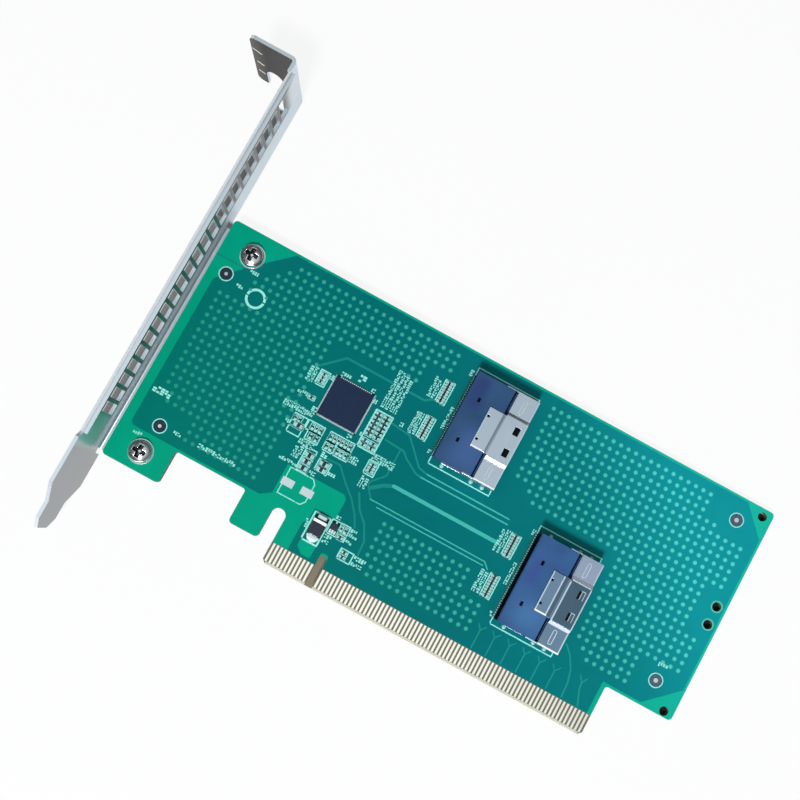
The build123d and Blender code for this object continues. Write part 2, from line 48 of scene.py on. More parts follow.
SIDES = (-1, 1)
print("nodes:", len(nodes))

# %% [markdown]
# ## Small helpers
# Every new piece is drawn in a bmesh in millimetres. `finish_piece` scales it to metres,
# makes the object and lets it ride on the card, so no step repeats that. `linear` turns
# a given colour into the light values that a shader works with.

# %% Helpers for pieces and colours
def finish_piece(name, bm, *materials):
    bmesh.ops.scale(bm, vec=(MM, MM, MM), verts=bm.verts)
    mesh = bpy.data.meshes.new(name)
    bm.to_mesh(mesh)
    bm.free()
    piece = bpy.data.objects.new(name, mesh)
    bpy.context.scene.collection.objects.link(piece)
    for material in materials:
        mesh.materials.append(material)
    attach(piece, "root")
    print(name, "faces:", len(mesh.polygons))
    return piece


def linear(red, green, blue):
    def channel(value):
        value = value / 255
        return value / 12.92 if value <= 0.04045 else ((value + 0.055) / 1.055) ** 2.4
    return (channel(red), channel(green), channel(blue), 1)


def dress(material, *names):
    for name in names:
        slots = nodes[name].data.materials
        slots.clear()
        slots.append(material)


# %% [markdown]
# Most places are known from the middle of something, so `at` and `about` turn a middle
# into the two ends of a span. A block is the plainest solid: a unit cube that one matrix
# stretches, turns and moves, so no vertex is written out.

# %% Helpers for spans and blocks
def at(middle, low, high):
    return middle + low, middle + high


def about(middle, half):
    return middle - half, middle + half


def block(bm, middle, size, turn=Matrix()):
    """A cuboid of a given size, turned about its middle."""
    place = Matrix.Translation(middle) @ turn @ Matrix.Diagonal((*size, 1))
    return bmesh.ops.create_cube(bm, size=1, matrix=place)["verts"]


def box(bm, x0, x1, y0, y1, z0, z1, edge=0.0):
    cube = block(bm, ((x0 + x1) / 2, (y0 + y1) / 2, (z0 + z1) / 2), (x1 - x0, y1 - y0, z1 - z0))
    if edge:
        edges = {e for v in cube for e in v.link_edges}
        bmesh.ops.bevel(bm, geom=list(edges), offset=edge, affect="EDGES", segments=2,
                        profile=0.5, material=-1)


# %% [markdown]
# A printed board is built of sheets. Each is drawn as a flat outline, and a copy of it is
# pulled up. The faces are turned up first, so that the copy looks up as the top and every
# other face looks outwards too. Holes could be cut with a Boolean modifier. Filling
# between the loops is quicker and gives clean edges.

# %% Helpers for flat layers
def pull_up(bm, faces, height):
    """Turn flat faces to look up, then pull a copy of them up into a closed slab."""
    for face in faces:
        face.normal_update()
        if face.normal.z < 0:
            face.normal_flip()
    grown = bmesh.ops.extrude_face_region(bm, geom=faces, use_keep_orig=True)["geom"]
    top = [v for v in grown if isinstance(v, bmesh.types.BMVert)]
    bmesh.ops.translate(bm, vec=(0, 0, height), verts=top)


def slab(bm, outline, low, high):
    pull_up(bm, [bm.faces.new([bm.verts.new((x, y, low)) for x, y in outline])], high - low)


def pierced_slab(bm, outline, holes, low, high):
    """A flat sheet with holes: the loops are filled between, then pulled up."""
    edges = []
    for loop in [outline] + holes:
        verts = [bm.verts.new((x, y, low)) for x, y in loop]
        edges += [bm.edges.new(pair) for pair in zip(verts, verts[1:] + verts[:1])]
    filled = bmesh.ops.triangle_fill(bm, use_beauty=True, edges=edges)["geom"]
    pull_up(bm, [f for f in filled if isinstance(f, bmesh.types.BMFace)], high - low)


def round_hole(x, y, radius, sides=20):
    turns = [2 * pi * i / sides for i in range(sides)]
    return [(x + radius * cos(turn), y + radius * sin(turn)) for turn in turns]


def bar(bm, x0, y0, x1, y1, width, low, high):
    turn = Matrix.Rotation(atan2(y1 - y0, x1 - x0), 4, "Z")
    size = (hypot(x1 - x0, y1 - y0), width, high - low)
    block(bm, ((x0 + x1) / 2, (y0 + y1) / 2, (low + high) / 2), size, turn)


def disc(bm, x, y, radius, low, high, sides=12, top=None):
    place = Matrix.Translation((x, y, (low + high) / 2))
    bmesh.ops.create_cone(bm, cap_ends=True, segments=sides, radius1=radius,
                          radius2=radius if top is None else top, depth=high - low, matrix=place)


def stroke(bm, points, width, low, high):
    for (x0, y0), (x1, y1) in zip(points, points[1:]):
        bar(bm, x0, y0, x1, y1, width, low, high)
    for x, y in points:
        disc(bm, x, y, width / 2, low, high + 0.001, 8)


def frame_line(bm, x0, x1, y0, y1, width, low, high):
    stroke(bm, [(x0, y0), (x1, y0), (x1, y1), (x0, y1), (x0, y0)], width, low, high)


# %% [markdown]
# The chip parts come as meshes of loose triangles. On a copy with its doubles merged,
# walking along the edges from any corner finds all of one brick, and then its box says
# where the brick's caps, pad and outline go.

# %% Where the separate solids of a node lie
def solid_boxes(name):
    """The lowest and highest corner of every separate solid of a node, in millimetres."""
    bm = bmesh.new()
    bm.from_mesh(nodes[name].data)
    bmesh.ops.remove_doubles(bm, verts=bm.verts, dist=0.000001)
    left = set(bm.verts)
    boxes = []
    while left:
        group = [left.pop()]
        for vert in group:
            for edge in vert.link_edges:
                other = edge.other_vert(vert)
                if other in left:
                    left.remove(other)
                    group.append(other)
        low = [min(v.co[i] for v in group) / MM for i in range(3)]
        high = [max(v.co[i] for v in group) / MM for i in range(3)]
        boxes.append((low, high))
    bm.free()
    return sorted(boxes)


# %% [markdown]
# ## Small helpers for nodes
# A finish is a tree of nodes, and most of its lines would only set a value or draw a
# link. `add` does both: each input is given either a value or the output it comes from.
# The helpers below it make the nodes that come up most: Math, Map Range, Mix and ramp.

# %% Helpers for node trees
def plug(tree, node, inputs):
    """Give each input a value, or link it to the output of another node."""
    for key, value in inputs.items():
        if isinstance(value, bpy.types.NodeSocket):
            tree.links.new(value, node.inputs[key])
        else:
            node.inputs[key].default_value = value


def add(tree, kind, inputs=None, **settings):
    """A new node. Its settings come first, because they decide which inputs it has."""
    node = tree.nodes.new("ShaderNode" + kind)
    for key, value in settings.items():
        setattr(node, key, value)
    plug(tree, node, inputs or {})
    return node


def calc(tree, operation, *values, clamp=False):
    inputs = dict(enumerate(values))
    return add(tree, "Math", inputs, operation=operation, use_clamp=clamp).outputs[0]


def rise(tree, value, low, high, kind="SMOOTHSTEP", ends=(0, 1)):
    """From the first to the second of the ends as a value goes from low to high."""
    inputs = {"Value": value, "From Min": low, "From Max": high, "To Min": ends[0], "To Max": ends[1]}
    return add(tree, "MapRange", inputs, interpolation_type=kind).outputs[0]


def mix(tree, mask, under, over, **settings):
    inputs = {"Factor": mask, "A": under, "B": over}
    return add(tree, "Mix", inputs, data_type="RGBA", **settings).outputs["Result"]


def color_run(tree, share, first, last, *stops):
    """A colour ramp from first to last, with stops of a place and a colour between."""
    ramp = add(tree, "ValToRGB", {"Fac": share})
    elements = ramp.color_ramp.elements
    elements[0].color, elements[1].color = first, last
    for place, color in stops:
        elements.new(place).color = color
    return ramp.outputs["Color"]


def object_axes(tree):
    place = add(tree, "TexCoord").outputs["Object"]
    return add(tree, "SeparateXYZ", {0: place}).outputs


# %% [markdown]
# ## Shared surface effects
# Real surfaces are never one value all over. Two effects are used by most finishes, so
# each is a node group that is built once: fine mottle, which shifts a colour a little,
# and drawn grain, which is the direction that rolling leaves in sheet metal.

# %% Node groups
def new_group(name, inputs, outputs):
    group = bpy.data.node_groups.new(name, "ShaderNodeTree")
    for label, kind, value in inputs:
        socket = group.interface.new_socket(label, in_out="INPUT", socket_type="NodeSocket" + kind)
        socket.default_value = value
    for label, kind in outputs:
        group.interface.new_socket(label, in_out="OUTPUT", socket_type="NodeSocket" + kind)
    start = group.nodes.new("NodeGroupInput").outputs
    return group, start, group.nodes.new("NodeGroupOutput")


def mottle_group():
    group, start, end = new_group(
        "mottle",
        [("Color", "Color", (0.5, 0.5, 0.5, 1)), ("Scale", "Float", 200.0), ("Amount", "Float", 0.1)],
        [("Color", "Color"), ("Mask", "Float")])
    place = add(group, "TexCoord").outputs["Object"]
    noise = add(group, "TexNoise", {"Vector": place, "Scale": start["Scale"], "Detail": 4}).outputs["Fac"]
    value = calc(group, "MULTIPLY_ADD", calc(group, "SUBTRACT", noise, 0.5), start["Amount"], 1)
    tint = add(group, "HueSaturation", {"Value": value, "Color": start["Color"]})
    plug(group, end, {"Color": tint.outputs["Color"], "Mask": noise})
    return group


def drawn_grain_group():
    group, start, end = new_group(
        "drawn_grain",
        [("Along", "Vector", (1, 40, 40)), ("Rough", "Float", 0.3), ("Spread", "Float", 0.15)],
        [("Roughness", "Float"), ("Height", "Float")])
    place = add(group, "TexCoord").outputs["Object"]
    stretched = add(group, "VectorMath", {0: place, 1: start["Along"]}, operation="MULTIPLY").outputs[0]
    noise = add(group, "TexNoise", {"Vector": stretched, "Scale": 120, "Detail": 5}).outputs["Fac"]
    middle = calc(group, "SUBTRACT", noise, 0.5)
    roughness = calc(group, "MULTIPLY_ADD", middle, start["Spread"], start["Rough"])
    plug(group, end, {"Roughness": roughness, "Height": noise})
    return group


MOTTLE = mottle_group()
DRAWN_GRAIN = drawn_grain_group()
RELIEF_DEPTH = 0.1 * MM


def mottled(tree, color, scale, amount):
    inputs = {"Color": color, "Scale": scale, "Amount": amount}
    return add(tree, "Group", inputs, node_tree=MOTTLE).outputs


def relief(tree, height, strength):
    inputs = {"Height": height, "Strength": strength, "Distance": RELIEF_DEPTH}
    return add(tree, "Bump", inputs).outputs["Normal"]


# %% [markdown]
# Most finishes here follow one of two recipes. Coated and moulded surfaces take mottle for
# their colour and, where they are rough to the touch, its mask as a bump. Metals take
# mottle too, but their roughness and bump come from the drawn grain.

# %% Two recipes: coated or moulded surfaces, and metals
def new_material(name):
    material = bpy.data.materials.new(name)
    material.use_nodes = True
    tree = material.node_tree
    return material, tree, tree.nodes["Principled BSDF"]


def plain_finish(name, color, roughness, scale=400, amount=0.15, bump=0.0, specular=0.3):
    material, tree, shader = new_material(name)
    mottle = mottled(tree, color, scale, amount)
    plug(tree, shader, {"Base Color": mottle["Color"], "Roughness": roughness,
                        "Specular IOR Level": specular})
    if bump:
        plug(tree, shader, {"Normal": relief(tree, mottle["Mask"], bump)})
    return material


def metal_finish(name, color, rough, spread=0.12, along=(1, 40, 40), amount=0.1, bump=0.05):
    material, tree, shader = new_material(name)
    inputs = {"Along": along, "Rough": rough, "Spread": spread}
    grain = add(tree, "Group", inputs, node_tree=DRAWN_GRAIN).outputs
    plug(tree, shader, {"Base Color": mottled(tree, color, 90, amount)["Color"], "Metallic": 1,
                        "Roughness": grain["Roughness"], "Normal": relief(tree, grain["Height"], bump)})
    return material


def even_grain_metal(name, color, amount):
    """Metal whose grain runs in no one direction. It carries the painted highlights and shade on the shells
    and the tab, and the diode's pale band.
    """
    return metal_finish(name, color, 0.4, 0.1, (20, 20, 20), amount, 0.05)


def moulding(name, color, roughness=0.45, specular=0.3):
    return plain_finish(name, color, roughness, 1500, 0.3, 0.2, specular)


# %% [markdown]
# Light and shade are painted over parts of some surfaces. A mask from the object's own X
# and Y picks each part, so the painted tint stays on it wherever the camera stands.

# %% Another colour over a part of a finish
def lay_over(material, mask, color):
    tree = material.node_tree
    shader = tree.nodes["Principled BSDF"]
    under = shader.inputs["Base Color"].links[0].from_socket
    plug(tree, shader, {"Base Color": mix(tree, mask, under, color)})


def span_mask(tree, axes, span, soft):
    """1 inside a rectangle seen from above, falling to 0 over a soft edge."""
    whole = None
    for axis, low, high in (("X", span[0], span[1]), ("Y", span[2], span[3])):
        for start, end in ((low, low + soft), (high, high - soft)):
            step = rise(tree, axes[axis], start * MM, end * MM)
            whole = step if whole is None else calc(tree, "MULTIPLY", whole, step)
    return whole


def paint_light_on_span(material, span, soft, color):
    tree = material.node_tree
    lay_over(material, span_mask(tree, object_axes(tree), span, soft), color)


# %% [markdown]
# ## Colours of the board
# A printed board is a sandwich: pale laminate, copper, a green solder mask and white
# print. Under the mask, copper shows as a deep teal and bare laminate as a lighter
# green. Each layer is a thin sheet of its own with its own finish, which keeps every
# edge crisp and gives the small relief that real etched copper has.

# %% Finishes of the board
HALF_BOARD = 0.785


def along_board(tree, axes, left, middle, right):
    """Painted light: the colour shifts from the bracket end to the far upper corner of the board."""
    lean = calc(tree, "MULTIPLY_ADD", axes["Y"], 0.8, axes["X"])
    share = rise(tree, lean, -28 * MM, 116 * MM, "LINEAR")
    nearly = [0.75 * m + 0.25 * r for m, r in zip(middle, right)]
    return color_run(tree, share, left, right, (0.47, middle), (0.78, nearly))


def from_middle(tree, axes, low, high):
    """0 to 1 as the distance from the board's middle plane goes from low to high."""
    height = calc(tree, "ABSOLUTE", calc(tree, "ADD", axes["Z"], HALF_BOARD * MM))
    return rise(tree, height, (HALF_BOARD + low) * MM, (HALF_BOARD + high) * MM)


def layered_mask(name, under, over, low=0, high=1):
    """Solder mask whose colour goes from one three-colour run to another with height."""
    material, tree, shader = new_material(name)
    axes = object_axes(tree)
    whole = mix(tree, from_middle(tree, axes, low, high),
                along_board(tree, axes, *under), along_board(tree, axes, *over))
    plug(tree, shader, {"Base Color": mottled(tree, whole, 260, 0.16)["Color"],
                        "Roughness": 0.4, "Specular IOR Level": 0.03})
    return material


OVER_COPPER = (linear(0, 112, 102), linear(0, 106, 108), linear(14, 146, 152))
OVER_LAMINATE = (linear(0, 152, 120), linear(0, 158, 130), linear(24, 180, 158))
OVER_DOTS = (linear(38, 144, 126), linear(56, 168, 150), linear(84, 208, 200))
OVER_TRACES = (linear(16, 126, 114), linear(26, 134, 128), linear(42, 160, 160))
OVER_BRIGHT = (linear(54, 164, 154), linear(66, 178, 168), linear(80, 200, 192))
CUT_EDGE = (linear(96, 104, 72), linear(96, 104, 72), linear(110, 118, 88))
deep_mask = layered_mask("mask_on_copper", OVER_COPPER, OVER_COPPER)
dot_mask = layered_mask("mask_on_dots", OVER_COPPER, OVER_DOTS, 0.012, 0.034)
trace_mask = layered_mask("mask_on_traces", OVER_COPPER, OVER_TRACES, 0.01, 0.024)
bright_mask = layered_mask("mask_on_bright_traces", OVER_TRACES, OVER_BRIGHT, 0.01, 0.024)
bare_mask = layered_mask("mask_on_laminate", OVER_LAMINATE, OVER_LAMINATE)
board_body = layered_mask("board_with_cut_edges", CUT_EDGE, OVER_LAMINATE, -0.03, -0.005)
white_print = plain_finish("white_print", linear(148, 228, 218), 0.6, 900, 0.3)
laminate = plain_finish("bare_laminate", linear(114, 108, 92), 0.6, 800, 0.25, specular=0.05)
bevel_cut = plain_finish("bevelled_laminate", linear(188, 182, 166), 0.6, 500, 0.3, specular=0.05)
gold = metal_finish("contact_gold", linear(240, 236, 222), 0.3, 0.08, (40, 1, 40), 0.08)
tin = metal_finish("bright_tin", linear(214, 224, 226), 0.24, 0.16, (8, 8, 8), 0.12, 0.2)


def shade_between_contacts(material):
    """Painted shade darkens each contact towards its edges; the contacts repeat every millimetre."""
    tree = material.node_tree
    part = calc(tree, "FRACT", calc(tree, "MULTIPLY", object_axes(tree)["X"], 1 / MM))
    away = calc(tree, "ABSOLUTE", calc(tree, "SUBTRACT", part, 0.5))
    lay_over(material, rise(tree, away, 0.16, 0.36), linear(120, 114, 98))


shade_between_contacts(gold)
dress(board_body, "circuit_board")
dress(gold, "edge_contacts_front", "edge_contacts_back")
dress(tin, "tinned_pads", "socket_solder", "chip_leads", "chip_ground_pad", "diode_leads", "regulator_leads")
print("finishes of the board:", len(bpy.data.materials))

# %% [markdown]
# ## Copper under the mask
# The poured copper keeps back from the board's edges and corners. It is one outline,
# pulled up into a sheet about two hundredths of a millimetre thick, on both faces.

# %% Poured copper
POUR = [(-40.2, 67.4), (82.5, 67.4), (88.9, 60.6), (88.9, 20.7), (81.3, 13.6), (71.2, 13.6), (71.2, 5.3),
        (1.03, 5.3), (1.03, 7.9), (0.7, 8.6), (-0.7, 8.6), (-1.03, 7.9), (-1.03, 5.3), (-8.3, 5.3),
        (-8.3, 12.6), (-7.3, 13.6), (-7.3, 16.9), (-1.9, 16.9), (-1.9, 22.0), (-2.8, 22.9),
        (-17.9, 22.9), (-17.9, 15.3), (-20.3, 13.6), (-54.0, 13.6), (-54.8, 14.4), (-54.8, 53.0),
        (-49.5, 58.8)]
BACK = -2 * HALF_BOARD
SUNK = 0.01
LAYER_T = 0.012
FACES = ((-SUNK, LAYER_T), (BACK - LAYER_T, BACK + SUNK))
HOLE_X = 87.05
HOLE_YS = (37.1, 41.8)
SOCKETS = [(19.0, 51.75), (49.7, 25.6)]
LEGS = (-5.0, 2.8, 5.8)
clearances = [round_hole(HOLE_X, y, 1.55) for y in HOLE_YS]
for x, y in SOCKETS:
    for side in SIDES:
        clearances.append(round_hole(x - 1.75, y + 8.5 * side, 0.85))
        for leg in LEGS:
            clearances.append([(x + leg + 0.62 * a, y + side * 11.45 + 0.4 * b)
                               for a, b in ((-1, -1), (1, -1), (1, 1), (-1, 1))])
copper = bmesh.new()
for low, high in FACES:
    pierced_slab(copper, POUR, clearances, low, high)
finish_piece("copper_pour", copper, deep_mask)

# %% [markdown]
# The pour is filled with a square lattice of small raised dots that evens out the
# etching. The rows stop where traces and parts need the room.

# %% Dot lattice
DOT_STEP = 2.03
DOT_R = 0.74
DOT_TOP_R = 0.3
LEFT_EDGE = -51.8
DOT_ROWS = [(first_y, rows, LEFT_EDGE + skip * DOT_STEP, x_end) for first_y, rows, skip, x_end in [
    (16.3, 3, 5, -23.4), (22.35, 2, 1, -23.4), (26.4, 13, 0, -23.4), (52.8, 1, 6, -23.4), (54.85, 2, 3, -1.0),
    (58.9, 1, 4, -1.0), (60.9, 1, 5, 5.0), (62.9, 1, 6, 5.0), (64.95, 1, 7, 5.0)]]
DOT_ROWS += [(16.15, 1, 65.5, 75.9), (18.15, 1, 63.5, 75.9), (20.2, 1, 61.4, 75.9), (22.2, 1, 61.4, 75.9),
             (24.2, 5, 61.4, 86.3), (34.4, 4, 61.4, 82.0), (42.5, 2, 57.4, 82.0), (46.5, 6, 57.4, 86.3),
             (58.7, 1, 57.4, 78.0), (60.75, 3, 57.4, 73.8), (46.5, 10, 31.0, 55.5), (42.5, 1, 37.1, 55.5),
             (44.55, 1, 35.1, 55.5), (17.3, 3, 8.7, 31.0), (13.2, 2, 8.7, 37.2), (9.1, 2, 10.7, 37.2)]
dots = bmesh.new()
for first_y, rows, x_start, x_end in DOT_ROWS:
    count = int((x_end - x_start) / DOT_STEP + 0.5) + 1
    for row in range(rows):
        for i in range(count):
            disc(dots, x_start + i * DOT_STEP, first_y + row * DOT_STEP, DOT_R, 0.008, 0.036, 8, DOT_TOP_R)
far_side = bmesh.ops.duplicate(dots, geom=dots.faces)["geom"]
flipped = [v for v in far_side if isinstance(v, bmesh.types.BMVert)]
bmesh.ops.scale(dots, vec=(1, 1, -1), verts=flipped)
bmesh.ops.translate(dots, vec=(0, 0, BACK), verts=flipped)
bmesh.ops.reverse_faces(dots, faces=[f for f in far_side if isinstance(f, bmesh.types.BMFace)])
finish_piece("copper_dots", dots, dot_mask)

# %% [markdown]
# Traces are ridges of copper under the mask, so they catch a little more light than the
# field round them. Each is a run of bars with a round at every corner. Their heights
# differ by a hair from one to the next, so that no two tops lie in one plane where they
# meet. The long runs that end at socket 2 are brighter and have a finish of their own.

# %% Traces
RIDGE_LOW = 0.004
RIDGE_HIGH = 0.022
RIDGE_STEP = 0.0004
TRACES = [
    (0.5, [(-22.8, 46.8), (-17.8, 51.6), (-5.5, 51.6)]),
    (0.5, [(-1.2, 51.6), (3.0, 51.6), (5.0, 53.0)]),
    (0.4, [(12.0, 36.4), (9.5, 36.9), (6.0, 40.5), (4.0, 42.5), (-1.0, 43.1)]),
    (0.4, [(11.0, 35.1), (9.5, 35.3), (6.0, 37.3), (4.5, 38.6), (-0.5, 38.9)]),
    (0.8, [(6.4, 30.2), (4.2, 29.2), (1.8, 27.3)]),
    (0.35, [(3.0, 25.1), (1.0, 27.5), (1.0, 28.5), (3.7, 31.5), (3.7, 38.2)]),
    (0.4, [(-11.0, 28.4), (-7.0, 28.5), (-4.0, 25.5), (-1.0, 23.0), (1.5, 20.0), (3.0, 17.3)]),
    (0.4, [(0.0, 25.0), (2.0, 21.5), (4.5, 19.2), (6.5, 15.5), (6.7, 12.0)]),
    (0.35, [(59.6, 17.2), (61.6, 15.2), (63.2, 12.4), (64.0, 9.4), (64.2, 5.8)]),
    (0.35, [(66.9, 11.0), (67.1, 9.4), (68.5, 5.8)]),
    (0.3, [(65.9, 12.4), (66.9, 11.0), (67.7, 12.3)]),
    (0.3, [(-57.0, 58.7), (-50.0, 58.7)]),
]
for x in (40.2, 44.0, 48.0, 52.0, 56.0, 60.0):
    TRACES.append((0.25, [(x - 1.0, 11.6), (x, 10.4), (x + 1.0, 11.6)]))
    TRACES.append((0.3, [(x, 10.4), (x, 5.8)]))
BRIGHT_TRACES = [(0.34, [(34.0, 36.4), (12.0, 36.4)]), (0.34, [(34.2, 35.1), (11.0, 35.1)]),
                 (0.9, [(34.0, 30.2), (6.4, 30.2)]), (0.3, [(35.0, 23.6), (33.6, 24.9), (3.0, 24.9)]),
                 (0.3, [(33.6, 23.9), (5.2, 23.9)])]
ridges = bmesh.new()
for number, (width, points) in enumerate(TRACES):
    stroke(ridges, points, 1.15 * width, RIDGE_LOW, RIDGE_HIGH + RIDGE_STEP * (number % 5))
finish_piece("copper_traces", ridges, trace_mask)
bright = bmesh.new()
for width, points in BRIGHT_TRACES:
    stroke(bright, points, width, RIDGE_LOW, 0.026)
finish_piece("bright_traces", bright, bright_mask)

# %% [markdown]
# Under the diode's pads the copper is cleared, so the lighter green shows there. Between
# the gold contacts there is no mask at all, only brown laminate, and the tongue's edge
# is bevelled so that it slides into its slot.

# %% Cleared places
BEVEL_DEPTH = 0.35
BEVEL_LENGTH = 0.6
clear = bmesh.new()
slab(clear, [(-6.8, 8.9), (-6.8, 7.4), (-5.0, 5.9), (-2.9, 5.9), (-2.7, 8.9)], RIDGE_LOW, 0.016)
finish_piece("cleared_copper", clear, bare_mask)
fingers = bmesh.new()
for low, high in FACES:
    slab(fingers, [(-12.28, 0.95), (-11.98, 0.64), (-0.97, 0.62), (-0.97, 5.3), (-12.28, 5.3)], low, high)
    slab(fingers, [(0.97, 0.62), (71.98, 0.64), (72.28, 0.95), (72.28, 5.3), (0.97, 5.3)], low, high)
finish_piece("bare_finger_zone", fingers, laminate)
edge_strip = bmesh.new()
for x0, x1 in ((-11.4, -0.97), (0.97, 71.4)):
    for z, tilt in ((0.0, 1), (BACK, -1)):
        slant = Matrix.Rotation(tilt * atan2(BEVEL_DEPTH, BEVEL_LENGTH), 4, "X")
        middle = ((x0 + x1) / 2, BEVEL_LENGTH / 2, z - tilt * BEVEL_DEPTH / 2)
        block(edge_strip, middle, (x1 - x0, 0.68, 0.02), slant)
    box(edge_strip, x0, x1, -0.005, 0.01, BACK + BEVEL_DEPTH, -BEVEL_DEPTH)
finish_piece("bevelled_edge", edge_strip, bevel_cut)

# %% [markdown]
# ## White print
# Outlines round the sockets and groups of small parts are printed in white. They are
# strokes like the traces, a hair above them. An image texture could hold such print, but
# strokes stay sharp at any distance and export as shapes.

# %% Outlines
PRINT = (0.01, 0.034)
OUTLINES = [(10.8, 27.1, 38.9, 64.8), (41.4, 57.7, 12.8, 38.7), (-5.9, -1.4, 34.5, 44.3),
            (-22.3, -18.8, 31.3, 34.4), (-18.5, -14.2, 32.2, 34.5), (-17.6, -14.2, 30.0, 32.2),
            (-12.7, -6.3, 32.1, 34.5), (-12.7, -10.2, 29.8, 32.1), (-9.9, -6.3, 29.8, 32.1),
            (-21.8, -19.4, 42.7, 46.4), (-1.6, 1.0, 29.6, 33.0), (5.2, 7.65, 52.7, 58.5),
            (5.2, 7.65, 43.0, 48.8), (36.15, 38.6, 28.2, 34.0), (36.15, 38.6, 17.5, 23.4),
            (-2.4, 0.1, 13.2, 16.7), (2.6, 5.9, 9.1, 11.7), (0.3, 2.3, 14.5, 16.8), (0.3, 2.3, 13.0, 14.4),
            (-15.9, -13.2, 22.9, 28.6), (-12.0, -8.8, 24.7, 27.6), (-22.2, -18.9, 29.6, 31.2)]
OPEN_LINES = [[(-12.3, 15.9), (-16.9, 15.9), (-16.9, 22.6), (-12.3, 22.6)],
              [(-11.9, 15.9), (-10.9, 15.9), (-10.0, 17.0), (-10.0, 21.5), (-10.9, 22.6), (-11.9, 22.6)]]
print_lines = bmesh.new()
for outline in OUTLINES:
    frame_line(print_lines, *outline, 0.29, *PRINT)
for points in OPEN_LINES:
    stroke(print_lines, points, 0.25, *PRINT)
frame_line(print_lines, -6.8, -2.8, 9.2, 16.3, 0.42, *PRINT)
for name in ("chip_capacitors", "chip_resistors"):
    for low, high in solid_boxes(name):
        frame_line(print_lines, low[0] - 0.42, high[0] + 0.42, low[1] - 0.3, high[1] + 0.3, 0.16, *PRINT)
finish_piece("printed_outlines", print_lines, white_print)

# %% [markdown]
# Between the parts lie rows of short plain dashes, which give a board its busy look. A
# random generator with a fixed seed picks how wide each one is and how it is filled, so
# that every run of the script draws the same rows.

# %% Plain dashes
MARKS = Random(7)
DASH_GAP = 0.16
ticks = bmesh.new()


def mark_line(x0, x1, y0, y1, along_x=False):
    """A row of short plain dashes in pairs, some with a third between them."""
    run, tall = (x1 - x0, y1 - y0) if along_x else (y1 - y0, x1 - x0)
    start = 0
    while start < run - 0.3:
        width = MARKS.choice((0.34, 0.42, 0.5)) * max(1, tall / 0.9)
        for level in MARKS.choice(((0.14, 0.86), (0.14, 0.5, 0.86), (0.14, 0.5), (0.5, 0.86))):
            if along_x:
                ends = (x0 + start, y0 + level * tall, x0 + start + width, y0 + level * tall)
            else:
                ends = (x0 + level * tall, y0 + start, x0 + level * tall, y0 + start + width)
            bar(ticks, *ends, 0.3 * tall, *PRINT)
        start += width + DASH_GAP


MARKS_ALONG_Y = [
    (-5.5, -4.7, 45.3, 55.3), (-4.4, -3.6, 45.3, 55.3), (-3.3, -2.5, 45.3, 54.8), (-2.2, -1.4, 45.3, 54.3),
    (2.8, 3.6, 43.0, 48.8), (3.9, 4.7, 43.2, 48.8), (2.8, 3.6, 52.9, 58.6), (3.9, 4.7, 52.9, 57.6),
    (33.8, 34.6, 28.2, 34.0), (34.9, 35.7, 28.2, 34.0), (33.8, 34.6, 17.6, 23.4), (34.9, 35.7, 17.6, 23.4),
    (9.4, 10.2, 47.6, 53.2), (39.8, 40.6, 22.5, 28.1), (-18.4, -17.6, 25.0, 28.0), (-24.3, -23.5, 42.5, 46.4),
    (-23.2, -22.4, 42.5, 46.4), (-17.3, -16.4, 25.0, 28.4), (-7.9, -7.1, 11.9, 14.0), (3.0, 3.8, 43.0, 48.8),
    (9.4, 10.2, 41.0, 42.0), (9.4, 10.2, 62.0, 63.8), (40.2, 41.0, 14.4, 15.6), (40.2, 41.0, 35.8, 37.4),
    (-1.3, -0.5, 26.2, 29.0), (-0.2, 0.6, 26.2, 29.0)]
MARKS_ALONG_X = [
    (-26.0, -18.0, 34.9, 35.7), (-18.4, -14.5, 28.2, 29.0), (-18.4, -14.5, 29.2, 29.9),
    (-20.6, -16.0, 23.2, 24.0), (-6.4, -3.4, 30.1, 30.9), (-6.4, -3.4, 31.1, 31.9), (-1.4, 4.5, 33.1, 33.9),
    (-1.4, 4.5, 34.1, 34.9), (6.2, 9.2, 9.2, 10.0), (6.2, 9.2, 10.6, 11.6), (2.6, 4.5, 13.1, 13.9),
    (2.6, 4.5, 14.8, 15.6), (2.6, 4.5, 15.9, 16.7), (-2.3, -0.3, 11.9, 12.8), (-2.3, -0.3, 10.7, 11.5),
    (-1.9, -0.5, 17.1, 17.9), (-17.2, -14.7, 47.2, 48.3), (-9.1, -7.9, 47.2, 48.2),
    (-19.4, -18.3, 45.2, 46.4), (-24.4, -19.7, 39.0, 39.9), (-12.2, -10.5, 28.1, 29.4),
    (-8.6, -6.9, 25.1, 26.3), (-12.7, -10.9, 23.2, 24.1), (-26.0, -18.0, 35.8, 36.4),
    (-19.4, -18.1, 36.6, 37.8), (-23.5, -22.4, 31.4, 32.2), (-54.2, -50.0, 22.8, 24.4),
    (-53.2, -50.8, 12.1, 12.9), (-48.0, -45.6, 58.4, 59.2), (-49.3, -47.2, 53.9, 54.7),
    (-44.9, -42.6, 16.2, 17.0), (-38.4, -28.2, 16.2, 17.2), (80.9, 83.1, 23.0, 24.0),
    (-13.0, -11.0, 48.0, 49.8), (-6.6, -5.8, 36.9, 37.8), (-7.5, -6.2, 45.2, 46.2),
    (-9.0, -8.0, 35.0, 35.9), (0.6, 1.8, 43.4, 44.4)]
for span in MARKS_ALONG_Y:
    mark_line(*span)
for span in MARKS_ALONG_X:
    mark_line(*span, along_x=True)
finish_piece("printed_marks", ticks, white_print)

# %% [markdown]
# Four round targets let a placing machine find the board: a bare tinned spot on a dark
# ground inside a white ring. Discs of growing height, one on the other, give all three.

